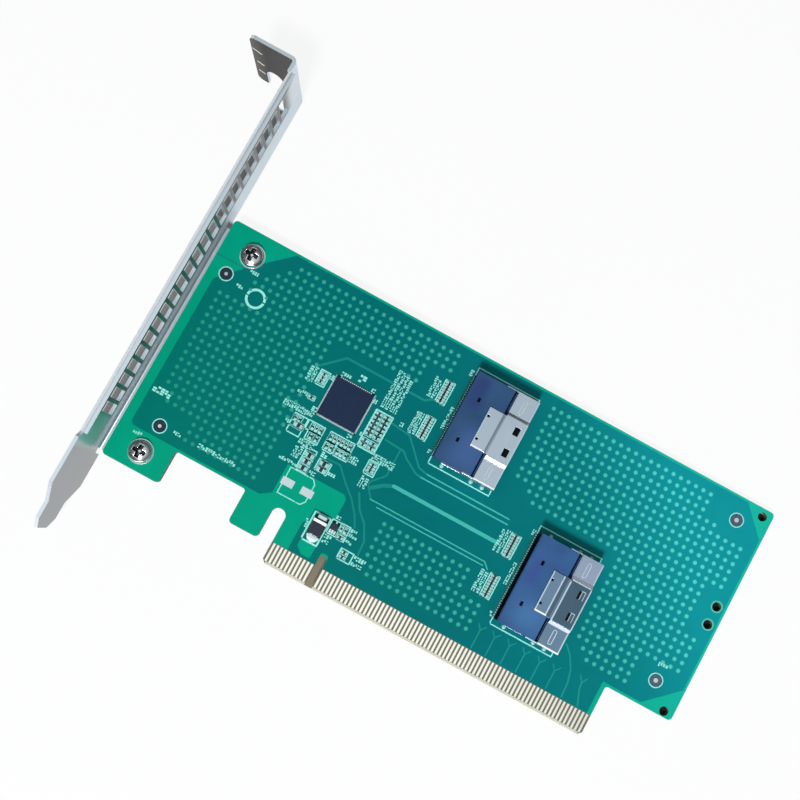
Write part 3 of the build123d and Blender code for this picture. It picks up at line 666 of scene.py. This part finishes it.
# %% Targets, the plain ring and the rims of the holes
ON_PRINT = (PRINT[0], PRINT[1] + 0.004)
RING_X, RING_Y = -43.7, 53.5
grounds = bmesh.new()
pale_grounds = bmesh.new()
rings = bmesh.new()
copper_spots = bmesh.new()
for x, y, spot in [(-52.7, 55.4, 0.42), (-48.4, 16.3, 0.42), (81.9, 62.3, 0.55), (82.1, 19.7, 0.55)]:
    disc(rings, x, y, 1.8, *PRINT, 32)
    disc(grounds if x < 0 else pale_grounds, x, y, 1.54, *ON_PRINT, 32)
    disc(copper_spots, x, y, spot, PRINT[0], PRINT[1] + 0.012, 20)
disc(rings, RING_X, RING_Y, 2.5, *PRINT, 40)
inner = bmesh.new()
disc(inner, RING_X, RING_Y, 1.88, *ON_PRINT, 40)
for side in SIDES:
    box(inner, *about(RING_X + side * 2.2, 0.4), *about(RING_Y, 0.15), *ON_PRINT)
dark_ground = plain_finish("dark_ground", linear(40, 52, 60), 0.55, 800, 0.5, specular=0.1)
pale_ground = plain_finish("pale_ground", linear(74, 92, 106), 0.55, 800, 0.5, specular=0.1)
finish_piece("printed_rings", rings, white_print)
finish_piece("target_grounds", grounds, dark_ground)
finish_piece("pale_target_grounds", pale_grounds, pale_ground)
finish_piece("ring_inside", inner, deep_mask)
finish_piece("target_spots", copper_spots, tin)
hole_rims = bmesh.new()
for y in HOLE_YS:
    pierced_slab(hole_rims, round_hole(HOLE_X, y, 1.4), [round_hole(HOLE_X, y, 1.13)], 0.0, 0.014)
finish_piece("hole_rims", hole_rims, plain_finish("hole_rim", linear(100, 180, 172), 0.6, 900, 0.3))

# %% [markdown]
# ## Bracket and screws
# The bracket is folded nickel-plated steel. A solid's edges are perfectly sharp, and
# nothing real is, so each metal node gets two modifiers: Weld joins the loose triangles
# and Bevel breaks the edges by a tenth of a millimetre, which is where the light lines
# along a folded sheet come from. Bright plating mirrors what stands round it, and those
# reflections are painted into its colour: a mask picks the face that looks at the board,
# a ramp along Y paints the part between the vents darker, the foot is painted paler, the
# bend is made less metallic to show a painted highlight and the underside of the tab is
# painted dark. Three pale streaks of painted reflection cross the tab.

# %% Bracket
NICKEL = linear(222, 230, 236)


def soften(name, width, segments=2, angle=35):
    node = nodes[name]
    weld = node.modifiers.new("join", "WELD")
    weld.merge_threshold = 0.000002
    edge = node.modifiers.new("soft_edges", "BEVEL")
    edge.width = width * MM
    edge.segments = segments
    edge.limit_method = "ANGLE"
    edge.angle_limit = radians(angle)
    edge.miter_outer = "MITER_ARC"


def grey(red, green, blue):
    return (red, green, blue, 1)


def paint_bracket_reflections(material):
    """Painted reflections and shade: dull at the blade and between the vents, pale at the foot, dark under
    the tab.
    """
    tree = material.node_tree
    axes = object_axes(tree)
    normal = add(tree, "NewGeometry").outputs["Normal"]
    facing = add(tree, "SeparateXYZ", {0: normal}).outputs
    plate = color_run(
        tree, rise(tree, axes["Y"], 0, 100 * MM, "LINEAR"), grey(0.46, 0.44, 0.42), grey(1, 1, 1),
        (0.036, grey(0.46, 0.44, 0.42)), (0.06, grey(0.68, 0.84, 0.82)), (0.12, grey(0.68, 0.84, 0.82)),
        (0.14, grey(0.24, 0.32, 0.32)), (0.66, grey(0.3, 0.36, 0.36)), (0.7, grey(0.2, 0.2, 0.2)),
        (0.96, grey(0.22, 0.22, 0.22)), (0.985, grey(0.9, 0.9, 0.9)))
    foot = calc(tree, "MULTIPLY", rise(tree, axes["Z"], 2.5 * MM, 1.2 * MM),
                rise(tree, axes["Y"], 6 * MM, 12 * MM))
    plate = mix(tree, foot, plate, grey(0.9, 0.95, 0.98))
    looks_in = rise(tree, facing["X"], 0.5, 0.8, "LINEAR")
    whole = mix(tree, looks_in, NICKEL, plate, blend_type="MULTIPLY")
    # The underside of the tab is painted dark: a painted reflection of dark surroundings.
    under_tab = calc(tree, "MULTIPLY", calc(tree, "GREATER_THAN", axes["Y"], 101 * MM),
                     rise(tree, facing["Y"], -0.5, -0.85))
    tab = color_run(tree, rise(tree, axes["X"], -71 * MM, -59.5 * MM, "LINEAR"),
                    linear(92, 88, 82), linear(58, 57, 56), (0.32, linear(30, 29, 28)))
    # The bend is made less metallic, so that it shows a painted highlight.
    bend = add(tree, "VectorMath", {0: normal, 1: (-0.707, 0, 0.707)}, operation="DOT_PRODUCT")
    metallic = rise(tree, bend.outputs["Value"], 0.72, 0.95, ends=(0.85, 0.1))
    plug(tree, tree.nodes["Principled BSDF"],
         {"Base Color": mix(tree, under_tab, whole, tab), "Metallic": metallic})


nickel = metal_finish("satin_nickel", NICKEL, 0.34, 0.1, (60, 2, 60), 0.08, 0.03)
paint_bracket_reflections(nickel)
dress(nickel, "bracket")
soften("bracket", 0.12, 3)
# Three pale streaks on the underside of the tab are painted reflections.
tab_streaks = bmesh.new()
for x, z, length in ((-69.4, 9.3, 2.6), (-69.2, 4.2, 2.0), (-69.3, 0.2, 1.8)):
    block(tab_streaks, (x, 102.83, z), (length, 0.022, 0.34), Matrix.Rotation(radians(20), 4, "Y"))
finish_piece("tab_painted_highlights", tab_streaks, even_grain_metal("painted_highlight_metal", linear(250, 250, 248), 0.1))

# %% [markdown]
# The screw heads are domed, with a recess whose walls slope. Each head is a net of rings
# and rays whose height comes from two rules: the dome falls with the square of the
# radius, and the cross sinks towards the middle line of each arm.

# %% Screws
SCREW_X = -49.3
SCREW_YS = (9.0, 62.1)
SHANK_R = 1.45
SHANK_END = -3.93
HEAD_R = 2.85
DOME_R = 2.5
DOME_LOW = 1.4
HEAD_TOP = 2.1
RECESS_DEPTH = 1.1
RINGS = 22
TURNS = [2 * pi * i / 64 for i in range(64)]


def cross_depth(x, y):
    inside = 0
    for along, across in ((x, y), (y, x)):
        inside = max(inside, min(1.6 - abs(along), 0.5 - abs(across)))
    return min(RECESS_DEPTH, 4 * inside)


def head_height(radius, turn):
    dome = HEAD_TOP - (HEAD_TOP - DOME_LOW) * (radius / DOME_R) ** 2
    return dome - cross_depth(radius * cos(turn), radius * sin(turn))


def ring_of(bm, x, y, radius, heights):
    return [bm.verts.new((x + radius * cos(t), y + radius * sin(t), z)) for t, z in zip(TURNS, heights)]


def screw(bm, x, y):
    rings = [ring_of(bm, x, y, radius, [z] * len(TURNS)) for radius, z in
             ((1.2, SHANK_END), (SHANK_R, SHANK_END + 0.25), (SHANK_R, 0), (HEAD_R, 0),
              (HEAD_R - 0.02, 0.6), (2.72, 1.1))]
    bm.faces.new(list(reversed(rings[0])))
    for step in range(RINGS):
        radius = DOME_R * (1 - step / RINGS)
        rings.append(ring_of(bm, x, y, radius, [head_height(radius, t) for t in TURNS]))
    for lower, upper in zip(rings, rings[1:]):
        for a, b, c, d in zip(lower, lower[1:] + lower[:1], upper[1:] + upper[:1], upper):
            bm.faces.new((a, b, c, d))
    tip = bm.verts.new((x, y, head_height(0, 0)))
    for a, b in zip(rings[-1], rings[-1][1:] + rings[-1][:1]):
        bm.faces.new((a, b, tip))
    # Faces deep in the cross take the second, dark finish: painted shade in the recess.
    for face in bm.faces:
        spot = face.calc_center_median() - Vector((x, y, 0))
        if spot.z > 0.3 and cross_depth(spot.x, spot.y) > 0.25 and hypot(spot.x, spot.y) > 0.36:
            face.material_index = 1


screw_metal = metal_finish("screw_metal", linear(222, 218, 220), 0.16, 0.1, (10, 10, 10), 0.15, 0.05)
painted_recess_shade = metal_finish("painted_recess_shade", linear(70, 74, 80), 0.4, 0.1, (10, 10, 10), 0.2, 0.05)
heads = bmesh.new()
rims = bmesh.new()
for y in SCREW_YS:
    screw(heads, SCREW_X, y)
    pierced_slab(rims, round_hole(SCREW_X, y, 3.05, 40), [round_hole(SCREW_X, y, 2.6, 40)], -0.01, 0.02)
bmesh.ops.recalc_face_normals(heads, faces=heads.faces)
for face in heads.faces:
    face.smooth = True
screws = finish_piece("domed_screws", heads, screw_metal, painted_recess_shade)
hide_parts("bracket_screws")
finish_piece("screw_lands", rims, tin)

# %% [markdown]
# ## Cable sockets
# Each socket is slate-coloured plastic in a tinned steel shell. The shell is stamped from
# thin sheet, so its folds are small and bright. The two sockets stand in different light,
# and that light is painted in: each has its own plastic and shell, patches of painted light
# and shade lie over parts of them, and the darker shell's strong mottle stands for painted
# reflections.

# %% Finishes of the sockets
slates = [plain_finish("slate_plastic", linear(46, 78, 116), 0.55, 110, 0.9, 0.1, specular=0.1),
          plain_finish("bright_slate_plastic", linear(54, 92, 142), 0.55, 110, 0.9, 0.1, specular=0.1)]
# Patches of painted light and shade on the two plastics and on the darker shell.
paint_light_on_span(slates[0], (10.9, 24.0, 38.0, 53.5), 6.0, linear(62, 92, 140))
paint_light_on_span(slates[0], (10.0, 16.5, 53.0, 64.0), 3.0, linear(44, 64, 112))
paint_light_on_span(slates[1], (41.0, 54.0, 12.5, 25.0), 6.0, linear(66, 110, 158))
paint_light_on_span(slates[1], (41.5, 47.0, 24.0, 33.0), 3.0, linear(56, 80, 142))
shells = [metal_finish("tinned_shell", linear(184, 194, 204), 0.34, 0.1, (2, 60, 60), 0.12, 0.05),
          metal_finish("shaded_shell", linear(118, 142, 166), 0.3, 0.1, (2, 60, 60), 0.5, 0.05)]
paint_light_on_span(shells[1], (52.0, 58.2, 20.2, 31.0), 0.5, linear(80, 102, 118))
paint_light_on_span(shells[1], (52.0, 58.2, 31.0, 38.0), 0.8, linear(162, 172, 192))
black = moulding("black_moulding", linear(26, 28, 36))
pitch_black = plain_finish("deep_shadow_plastic", linear(10, 14, 26), 0.8, 1500, 0.3, specular=0.02)
lit_fold = plain_finish("lit_fold", linear(196, 204, 218), 0.4, 900, 0.2, specular=0.3)
# The contact tails are painted dark teal: painted shade and a painted reflection of the board.
shaded_tail_metal = metal_finish("shaded_tinned_tail", linear(58, 112, 112), 0.5, 0.12, (2, 60, 60), 0.1, 0.08)
glint_and_band = even_grain_metal("glint_and_band_metal", linear(250, 252, 255), 0.1)
fold_highlight = even_grain_metal("painted_fold_highlight", linear(194, 212, 222), 0.3)
rib_highlight = even_grain_metal("painted_rib_highlight", linear(204, 216, 226), 0.3)
step_finishes = [even_grain_metal("shaded_fold", linear(124, 134, 150), 0.3),
                 even_grain_metal("deep_shaded_fold", linear(84, 100, 118), 0.3)]

# %% [markdown]
# A fold of thin sheet has a bright line along it. A bevel alone is too narrow to show
# that from a step away, so each line is a thin plate that lies on the shell, two
# hundredths of a millimetre proud, with the highlight painted into its colour; the rims
# of the pressed ribs are drawn the same way. The three heights are those of the shell's
# arms, its latch plate and its raised middle.

# %% Ribs and folds
ON_ARM = (4.84, 4.862)
ON_LATCH = (5.5, 5.522)
ON_MIDDLE = (5.64, 5.662)
WINDOW_Y = 2.78
RIB_R = 0.42
RIB_HALF = 1.35


def rib_loop(bm, x, y, z):
    """The outline of a pressed rib: two long sides and two half rounds."""
    turns = [pi * i / 6 for i in range(7)]
    points = [(x + RIB_R * cos(t), y + RIB_HALF + RIB_R * sin(t)) for t in turns]
    points += [(x - RIB_R * cos(t), y - RIB_HALF - RIB_R * sin(t)) for t in turns]
    for (x0, y0), (x1, y1) in zip(points, points[1:] + points[:1]):
        bar(bm, x0, y0, x1, y1, 0.2, z, z + 0.13)


def bright_folds(folds, x, y):
    """The folds of the shell round the windows of socket 1."""
    for side in SIDES:
        window = y + side * WINDOW_Y
        box(folds, *at(x, 5.4, 7.05), *at(window, 1.02, 1.17), *ON_MIDDLE)
        box(folds, *at(x, 5.36, 5.5), *at(window, -1.0, 1.17), *ON_MIDDLE)
    box(folds, *at(x, -1.72, -1.5), *about(y, 5.05), *ON_LATCH)


def turned_flaps(folds, ribs, x, y):
    """Socket 2: its flaps stand in the windows, and both ends of its middle catch light."""
    box(folds, *at(x, 2.6, 2.95), *about(y, 5.25), *ON_MIDDLE)
    box(folds, *at(x, 2.6, 8.0), *at(y, 5.05, 5.3), *ON_MIDDLE)
    box(folds, *at(x, -1.72, -1.45), *about(y, 5.05), *ON_LATCH)
    box(folds, *at(x, 0.95, 1.25), *about(y, 5.05), *ON_LATCH)
    flaps = bmesh.new()
    slopes = bmesh.new()
    for side in SIDES:
        window = y + side * WINDOW_Y
        box(folds, *at(x, 6.1, 7.1), *at(window, 1.0, 1.2), *ON_MIDDLE)
        box(ribs, *at(x, 6.95, 7.1), *about(window, 1.0), *ON_MIDDLE)
        box(ribs, *at(x, 6.2, 6.34), *about(window, 0.97), 5.36, 5.52)
        box(flaps, *at(x, 6.34, 6.92), *about(window, 0.97), 5.36, 5.5)
        lean = Matrix.Rotation(-side * pi / 4, 4, "X")
        block(slopes, (x + 5.3, y + side * 5.76, 5.27), (5.42, 1.12 + side * 0.04, 0.02), lean)
    finish_piece("socket_2_slopes", slopes, lit_fold)
    finish_piece("socket_2_flaps", flaps, shells[1])


# %% [markdown]
# Both sockets are drawn by one loop about their middles. Dark plates stand in for the
# depth of slots and gaps that light doesn't reach.

# %% Sockets
for number, (x, y) in enumerate(SOCKETS):
    socket = f"socket_{number + 1}"
    dress(slates[number], f"{socket}_housing")
    dress(shells[number], f"{socket}_shell")
    dress(shaded_tail_metal, f"{socket}_upper_contacts", f"{socket}_lower_contacts")
    soften(f"{socket}_housing", 0.06)
    soften(f"{socket}_shell", 0.13, 3)
    lining = bmesh.new()
    box(lining, *at(x, 3.4, 7.9), *about(y, 11.25), 0.42, 0.5)
    finish_piece(f"{socket}_lining", lining, black)
    shadow = bmesh.new()
    box(shadow, *at(x, -8.06, -8.03), *about(y, 11.2), 0.5, 4.9)
    box(shadow, *at(x, -8.08, -7.7), *about(y, 11.2), 0.152, 0.17)
    folds = bmesh.new()
    ribs = bmesh.new()
    for side in SIDES:
        box(shadow, *at(x, 1.72, 2.12), *about(y + side * 8.3, 3.0), 5.19, 5.212)
        disc(shadow, x - 1.15, y + side * 2.98, 0.42, 5.19, 5.22, 12)
        box(shadow, *at(x, -5.2, -4.5), *about(y + side * 5.25, 0.55), 4.7, 4.8)
        box(folds, *at(x, 7.75, 8.04), *about(y + side * 8.85, 2.6), *ON_ARM)
        box(folds, *at(x, -0.4, 2.5), *about(y + side * 11.42, 0.13), 4.69, 4.712)
        rib_loop(ribs, x + 5.05, y + side * 8.6, 4.845)
    box(folds, *at(x, 7.75, 8.04), *about(y, 5.3), *ON_MIDDLE)
    finish_piece(f"{socket}_dark_gaps", shadow, pitch_black)
    if number == 0:
        bright_folds(folds, x, y)
    else:
        turned_flaps(folds, ribs, x, y)
    finish_piece(f"{socket}_folds", folds, fold_highlight)
    finish_piece(f"{socket}_ribs", ribs, rib_highlight)
    # Painted highlights: pale strips on the edges of the arm and the latch that face the low lamp.
    glints = bmesh.new()
    box(glints, *at(x, 2.6, 8.04), *at(y, -11.58, -11.2), 4.84, 4.864)
    box(glints, *at(x, -1.7, 1.3), *at(y, -5.08, -4.72), 5.5, 5.524)
    finish_piece(f"{socket}_glints", glints, glint_and_band)
    # A strip of painted shade lies along the step between the latch plate and the raised middle.
    step = bmesh.new()
    box(step, *at(x, (1.7, 1.3)[number], 2.5), *about(y, 5.05), 5.5, 5.521)
    finish_piece(f"{socket}_step", step, step_finishes[number])

# %% [markdown]
# The shell's legs pass through the board and are soldered, so a low cone of solder
# stands at each one.

# %% Solder at the shell legs
blobs = bmesh.new()
for x, y in SOCKETS:
    for leg in LEGS:
        for side in SIDES:
            disc(blobs, x + leg, y + side * 11.95, 0.52, 0.0, 0.24, 14, 0.26)
leg_solder = plain_finish("leg_solder", linear(150, 204, 200), 0.4, 900, 0.4, specular=0.4)
finish_piece("leg_fillets", blobs, leg_solder)

# %% [markdown]
# ## Control chip, diode and regulator
# Moulded packages are near black with a fine matt grain. The solids already have the
# right form, so they only take a finish, and the diode gets its pale band.

# %% Moulded packages
dress(moulding("chip_moulding", linear(24, 40, 68), specular=0.15), "chip_body")
dress(moulding("regulator_moulding", linear(26, 42, 58)), "regulator_body")
dress(moulding("diode_moulding", linear(30, 36, 50)), "diode_body")
dress(moulding("dark_ceramic", linear(34, 40, 52), 0.5), "chip_resistors", "chip_capacitors")
band = bmesh.new()
box(band, -6.25, -2.95, 14.3, 14.95, 2.05, 2.115)
finish_piece("diode_band", band, glint_and_band)

# %% [markdown]
# A chip part is a small ceramic brick with a metal cap on each end. The brick is the
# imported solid. The caps go over its ends with a hair to spare, and under each one lies
# a pad, which is what catches the light on a real board.

# %% End caps and pads of the chip parts
CAP_SHARE = 0.27
CAP_PROUD = 0.015
PAD_OUT = 0.28
PAD_SIDE = 0.06
caps = bmesh.new()
pads = bmesh.new()


def end_cap(low, high, axis, side):
    """One cap with its pad, at one end of the long axis of a chip part."""
    reach = CAP_SHARE * (high[axis] - low[axis])
    span = [[low[i] - CAP_PROUD, high[i] + CAP_PROUD] for i in range(2)]
    foot = [[low[i] - PAD_SIDE, high[i] + PAD_SIDE] for i in range(2)]
    if side < 0:
        span[axis][1] = low[axis] + reach
        foot[axis] = [low[axis] - PAD_OUT, low[axis] + reach]
    else:
        span[axis][0] = high[axis] - reach
        foot[axis] = [high[axis] - reach, high[axis] + PAD_OUT]
    box(caps, *span[0], *span[1], 0.02, high[2] + CAP_PROUD, 0.03)
    box(pads, *foot[0], *foot[1], 0.0, 0.05)


for name in ("chip_capacitors", "chip_resistors"):
    for low, high in solid_boxes(name):
        axis = 0 if high[0] - low[0] > high[1] - low[1] else 1
        for side in SIDES:
            end_cap(low, high, axis, side)
cap_metal = plain_finish("matt_tin", linear(164, 208, 204), 0.5, 900, 0.3, specular=0.3)
finish_piece("chip_part_caps", caps, cap_metal)
finish_piece("chip_part_pads", pads, cap_metal)

# %% [markdown]
# Solder shows as wide fans at the diode, and as a pale line along the three sides of the
# chip that face the light; it is left off the shaded fourth side, so that line is partly a
# painted highlight. Both are flat, so strips and slabs are enough.

# %% Solder round the chip
CHIP_X, CHIP_Y = -12.8, 41.65
RIM_IN = 5.0
RIM_OUT = 5.38
rim = bmesh.new()
for x_span, y_span in (((-RIM_OUT, -RIM_IN), (-RIM_OUT, RIM_OUT)),
                       ((-RIM_OUT, RIM_OUT), (-RIM_OUT, -RIM_IN)),
                       ((RIM_IN, RIM_OUT), (-RIM_OUT, RIM_OUT))):
    box(rim, *at(CHIP_X, *x_span), *at(CHIP_Y, *y_span), 0, 0.1)
finish_piece("chip_solder", rim, plain_finish("chip_solder", linear(130, 166, 170), 0.5, 1200, 0.4))

# %% Solder at the diode and the regulator
FAN_X, FAN_Y, FAN_R = -4.6, 11.0, 1.55
fans = bmesh.new()
half_round = [(FAN_X + FAN_R * cos(pi * i / 12), FAN_Y - FAN_R * sin(pi * i / 12)) for i in range(13)]
slab(fans, half_round, 0.0, 0.2)
slab(fans, [(-5.9, 15.1), (-3.3, 15.1), (-3.5, 16.0), (-5.7, 16.0)], 0.0, 0.2)
for x in (-1.75, -1.15, -0.55):
    box(fans, *about(x, 0.24), 13.5, 14.35, 0.0, 0.12, 0.04)
fresh_solder = plain_finish("fresh_solder", linear(214, 232, 232), 0.35, 700, 0.25, specular=0.5)
finish_piece("diode_solder", fans, fresh_solder)

# %% [markdown]
# ## Floor, light and camera
# The card lies with the bracket's lower edge and the far end of the board on the floor.
# The floor is tilted by that small angle, so that both touch it. It shows white to the
# camera and keeps a faint shadow. Under the card and the bracket, shade is painted into
# the floor's colour, so that no opening shows as a bright hole, and under the key notch
# the painted shade is brown.

# %% Floor
NOTCH = (-1.3, 1.3, -0.4, 9.5)
SHADES = [((-57.0, 89.3, 13.4, 67.4), 0.6, 1.0), ((-1.5, 71.0, 0.4, 14.5), 0.4, 0.7),
          ((-63.7, -57.2, 12.0, 68.4), 0.9, 0.8), ((-63.7, -60.2, 67.0, 99.0), 0.9, 0.85),
          (NOTCH, 0.3, 0.88), ((85.7, 88.4, 13.0, 15.8), 0.2, 1.0)]


def floor_material():
    material, tree, shader = new_material("pale_floor")
    axes = object_axes(tree)
    shade = None
    for span, soft, depth in SHADES:
        patch = calc(tree, "MULTIPLY", span_mask(tree, axes, span, soft), depth)
        shade = patch if shade is None else calc(tree, "MAXIMUM", shade, patch)
    tone = mix(tree, shade, (0.8, 0.8, 0.8, 1), (0.015, 0.018, 0.02, 1))
    tone = mix(tree, span_mask(tree, axes, NOTCH, 0.3), tone, linear(136, 126, 110))
    plug(tree, shader, {"Base Color": tone, "Roughness": 0.9, "Specular IOR Level": 0.0})
    path = add(tree, "LightPath").outputs
    mirrored = calc(tree, "MULTIPLY", path["Is Glossy Ray"], 0.6)
    seen = calc(tree, "MAXIMUM", path["Is Camera Ray"], mirrored)
    open_floor = calc(tree, "SUBTRACT", 0.88, shade, clamp=True)
    glow = add(tree, "Emission", {"Strength": 1})
    blend = add(tree, "MixShader", {0: calc(tree, "MULTIPLY", seen, open_floor, clamp=True),
                                    1: shader.outputs[0], 2: glow.outputs[0]})
    plug(tree, tree.nodes["Material Output"], {"Surface": blend.outputs[0]})
    return material


touch_low = Vector((-58.64, 0, -4.07)) * MM
touch_high = Vector((89.5, 0, -1.57)) * MM
slope = atan2(touch_high.z - touch_low.z, touch_high.x - touch_low.x)
floor_mesh = bpy.data.meshes.new("floor")
floor_bm = bmesh.new()
bmesh.ops.create_grid(floor_bm, x_segments=1, y_segments=1, size=3,
                      matrix=Matrix.Translation(touch_low) @ Matrix.Rotation(-slope, 4, "Y"))
floor_bm.to_mesh(floor_mesh)
floor_bm.free()
floor = bpy.data.objects.new("floor", floor_mesh)
floor_mesh.materials.append(floor_material())
bpy.context.scene.collection.objects.link(floor)
print("floor slope in degrees:", round(degrees(slope), 2))

# %% [markdown]
# Flat metal that looks up mirrors the zenith, so the sky is pale there and grey lower
# down. A small key lamp on the side of the edge contacts gives crisp, short shadows, and
# a wide low one behind it lights the faces that look that way.

# %% Light
world = bpy.data.worlds.new("studio")
bpy.context.scene.world = world
world.use_nodes = True
sky = world.node_tree
height = add(sky, "SeparateXYZ", {0: add(sky, "TexCoord").outputs["Generated"]}).outputs["Z"]
sky_color = mix(sky, rise(sky, height, 0.7, 0.97), (0.12, 0.12, 0.125, 1), (0.8, 0.88, 0.92, 1))
plug(sky, sky.nodes["Background"], {"Color": sky_color, "Strength": 1.0})


def lamp(name, place, size, power):
    data = bpy.data.lights.new(name, "AREA")
    data.shape = "RECTANGLE"
    data.size, data.size_y = size
    data.energy = power
    thing = bpy.data.objects.new(name, data)
    thing.location = Vector(place)
    thing.rotation_euler = (CARD_MIDDLE - Vector(place)).to_track_quat("-Z", "Y").to_euler()
    bpy.context.scene.collection.objects.link(thing)


CARD_MIDDLE = Vector((0.015, 0.035, 0))
lamp("key", (0.08, -0.55, 0.84), (0.16, 0.16), 8.8)
lamp("low_front", (0.2, -1.15, 0.14), (1.0, 0.36), 4.6)

# %% [markdown]
# The camera stands almost straight above the card and is turned about its own axis. Its
# three directions and its lens were worked out from the pitch of the edge contacts, which
# is known, and from the straight edges of the board.

# %% Camera
camera_data = bpy.data.cameras.new("camera")
camera_data.lens = 39.56
camera_data.sensor_width = 36
camera_data.shift_x = -0.0049
camera_data.shift_y = 0.0862
camera = bpy.data.objects.new("camera", camera_data)
across = Vector((0.8775, 0.47806, 0.03819))
upward = Vector((-0.47958, 0.87495, 0.0668))
backward = Vector((-0.00149, -0.07693, 0.99704))
turn = Matrix((across, upward, backward)).transposed()
camera.matrix_world = Matrix.Translation(Vector((6.23, 19.0, 206.53)) * MM) @ turn.to_4x4()
bpy.context.scene.collection.objects.link(camera)
bpy.context.scene.camera = camera
bpy.context.scene.view_settings.view_transform = "Standard"
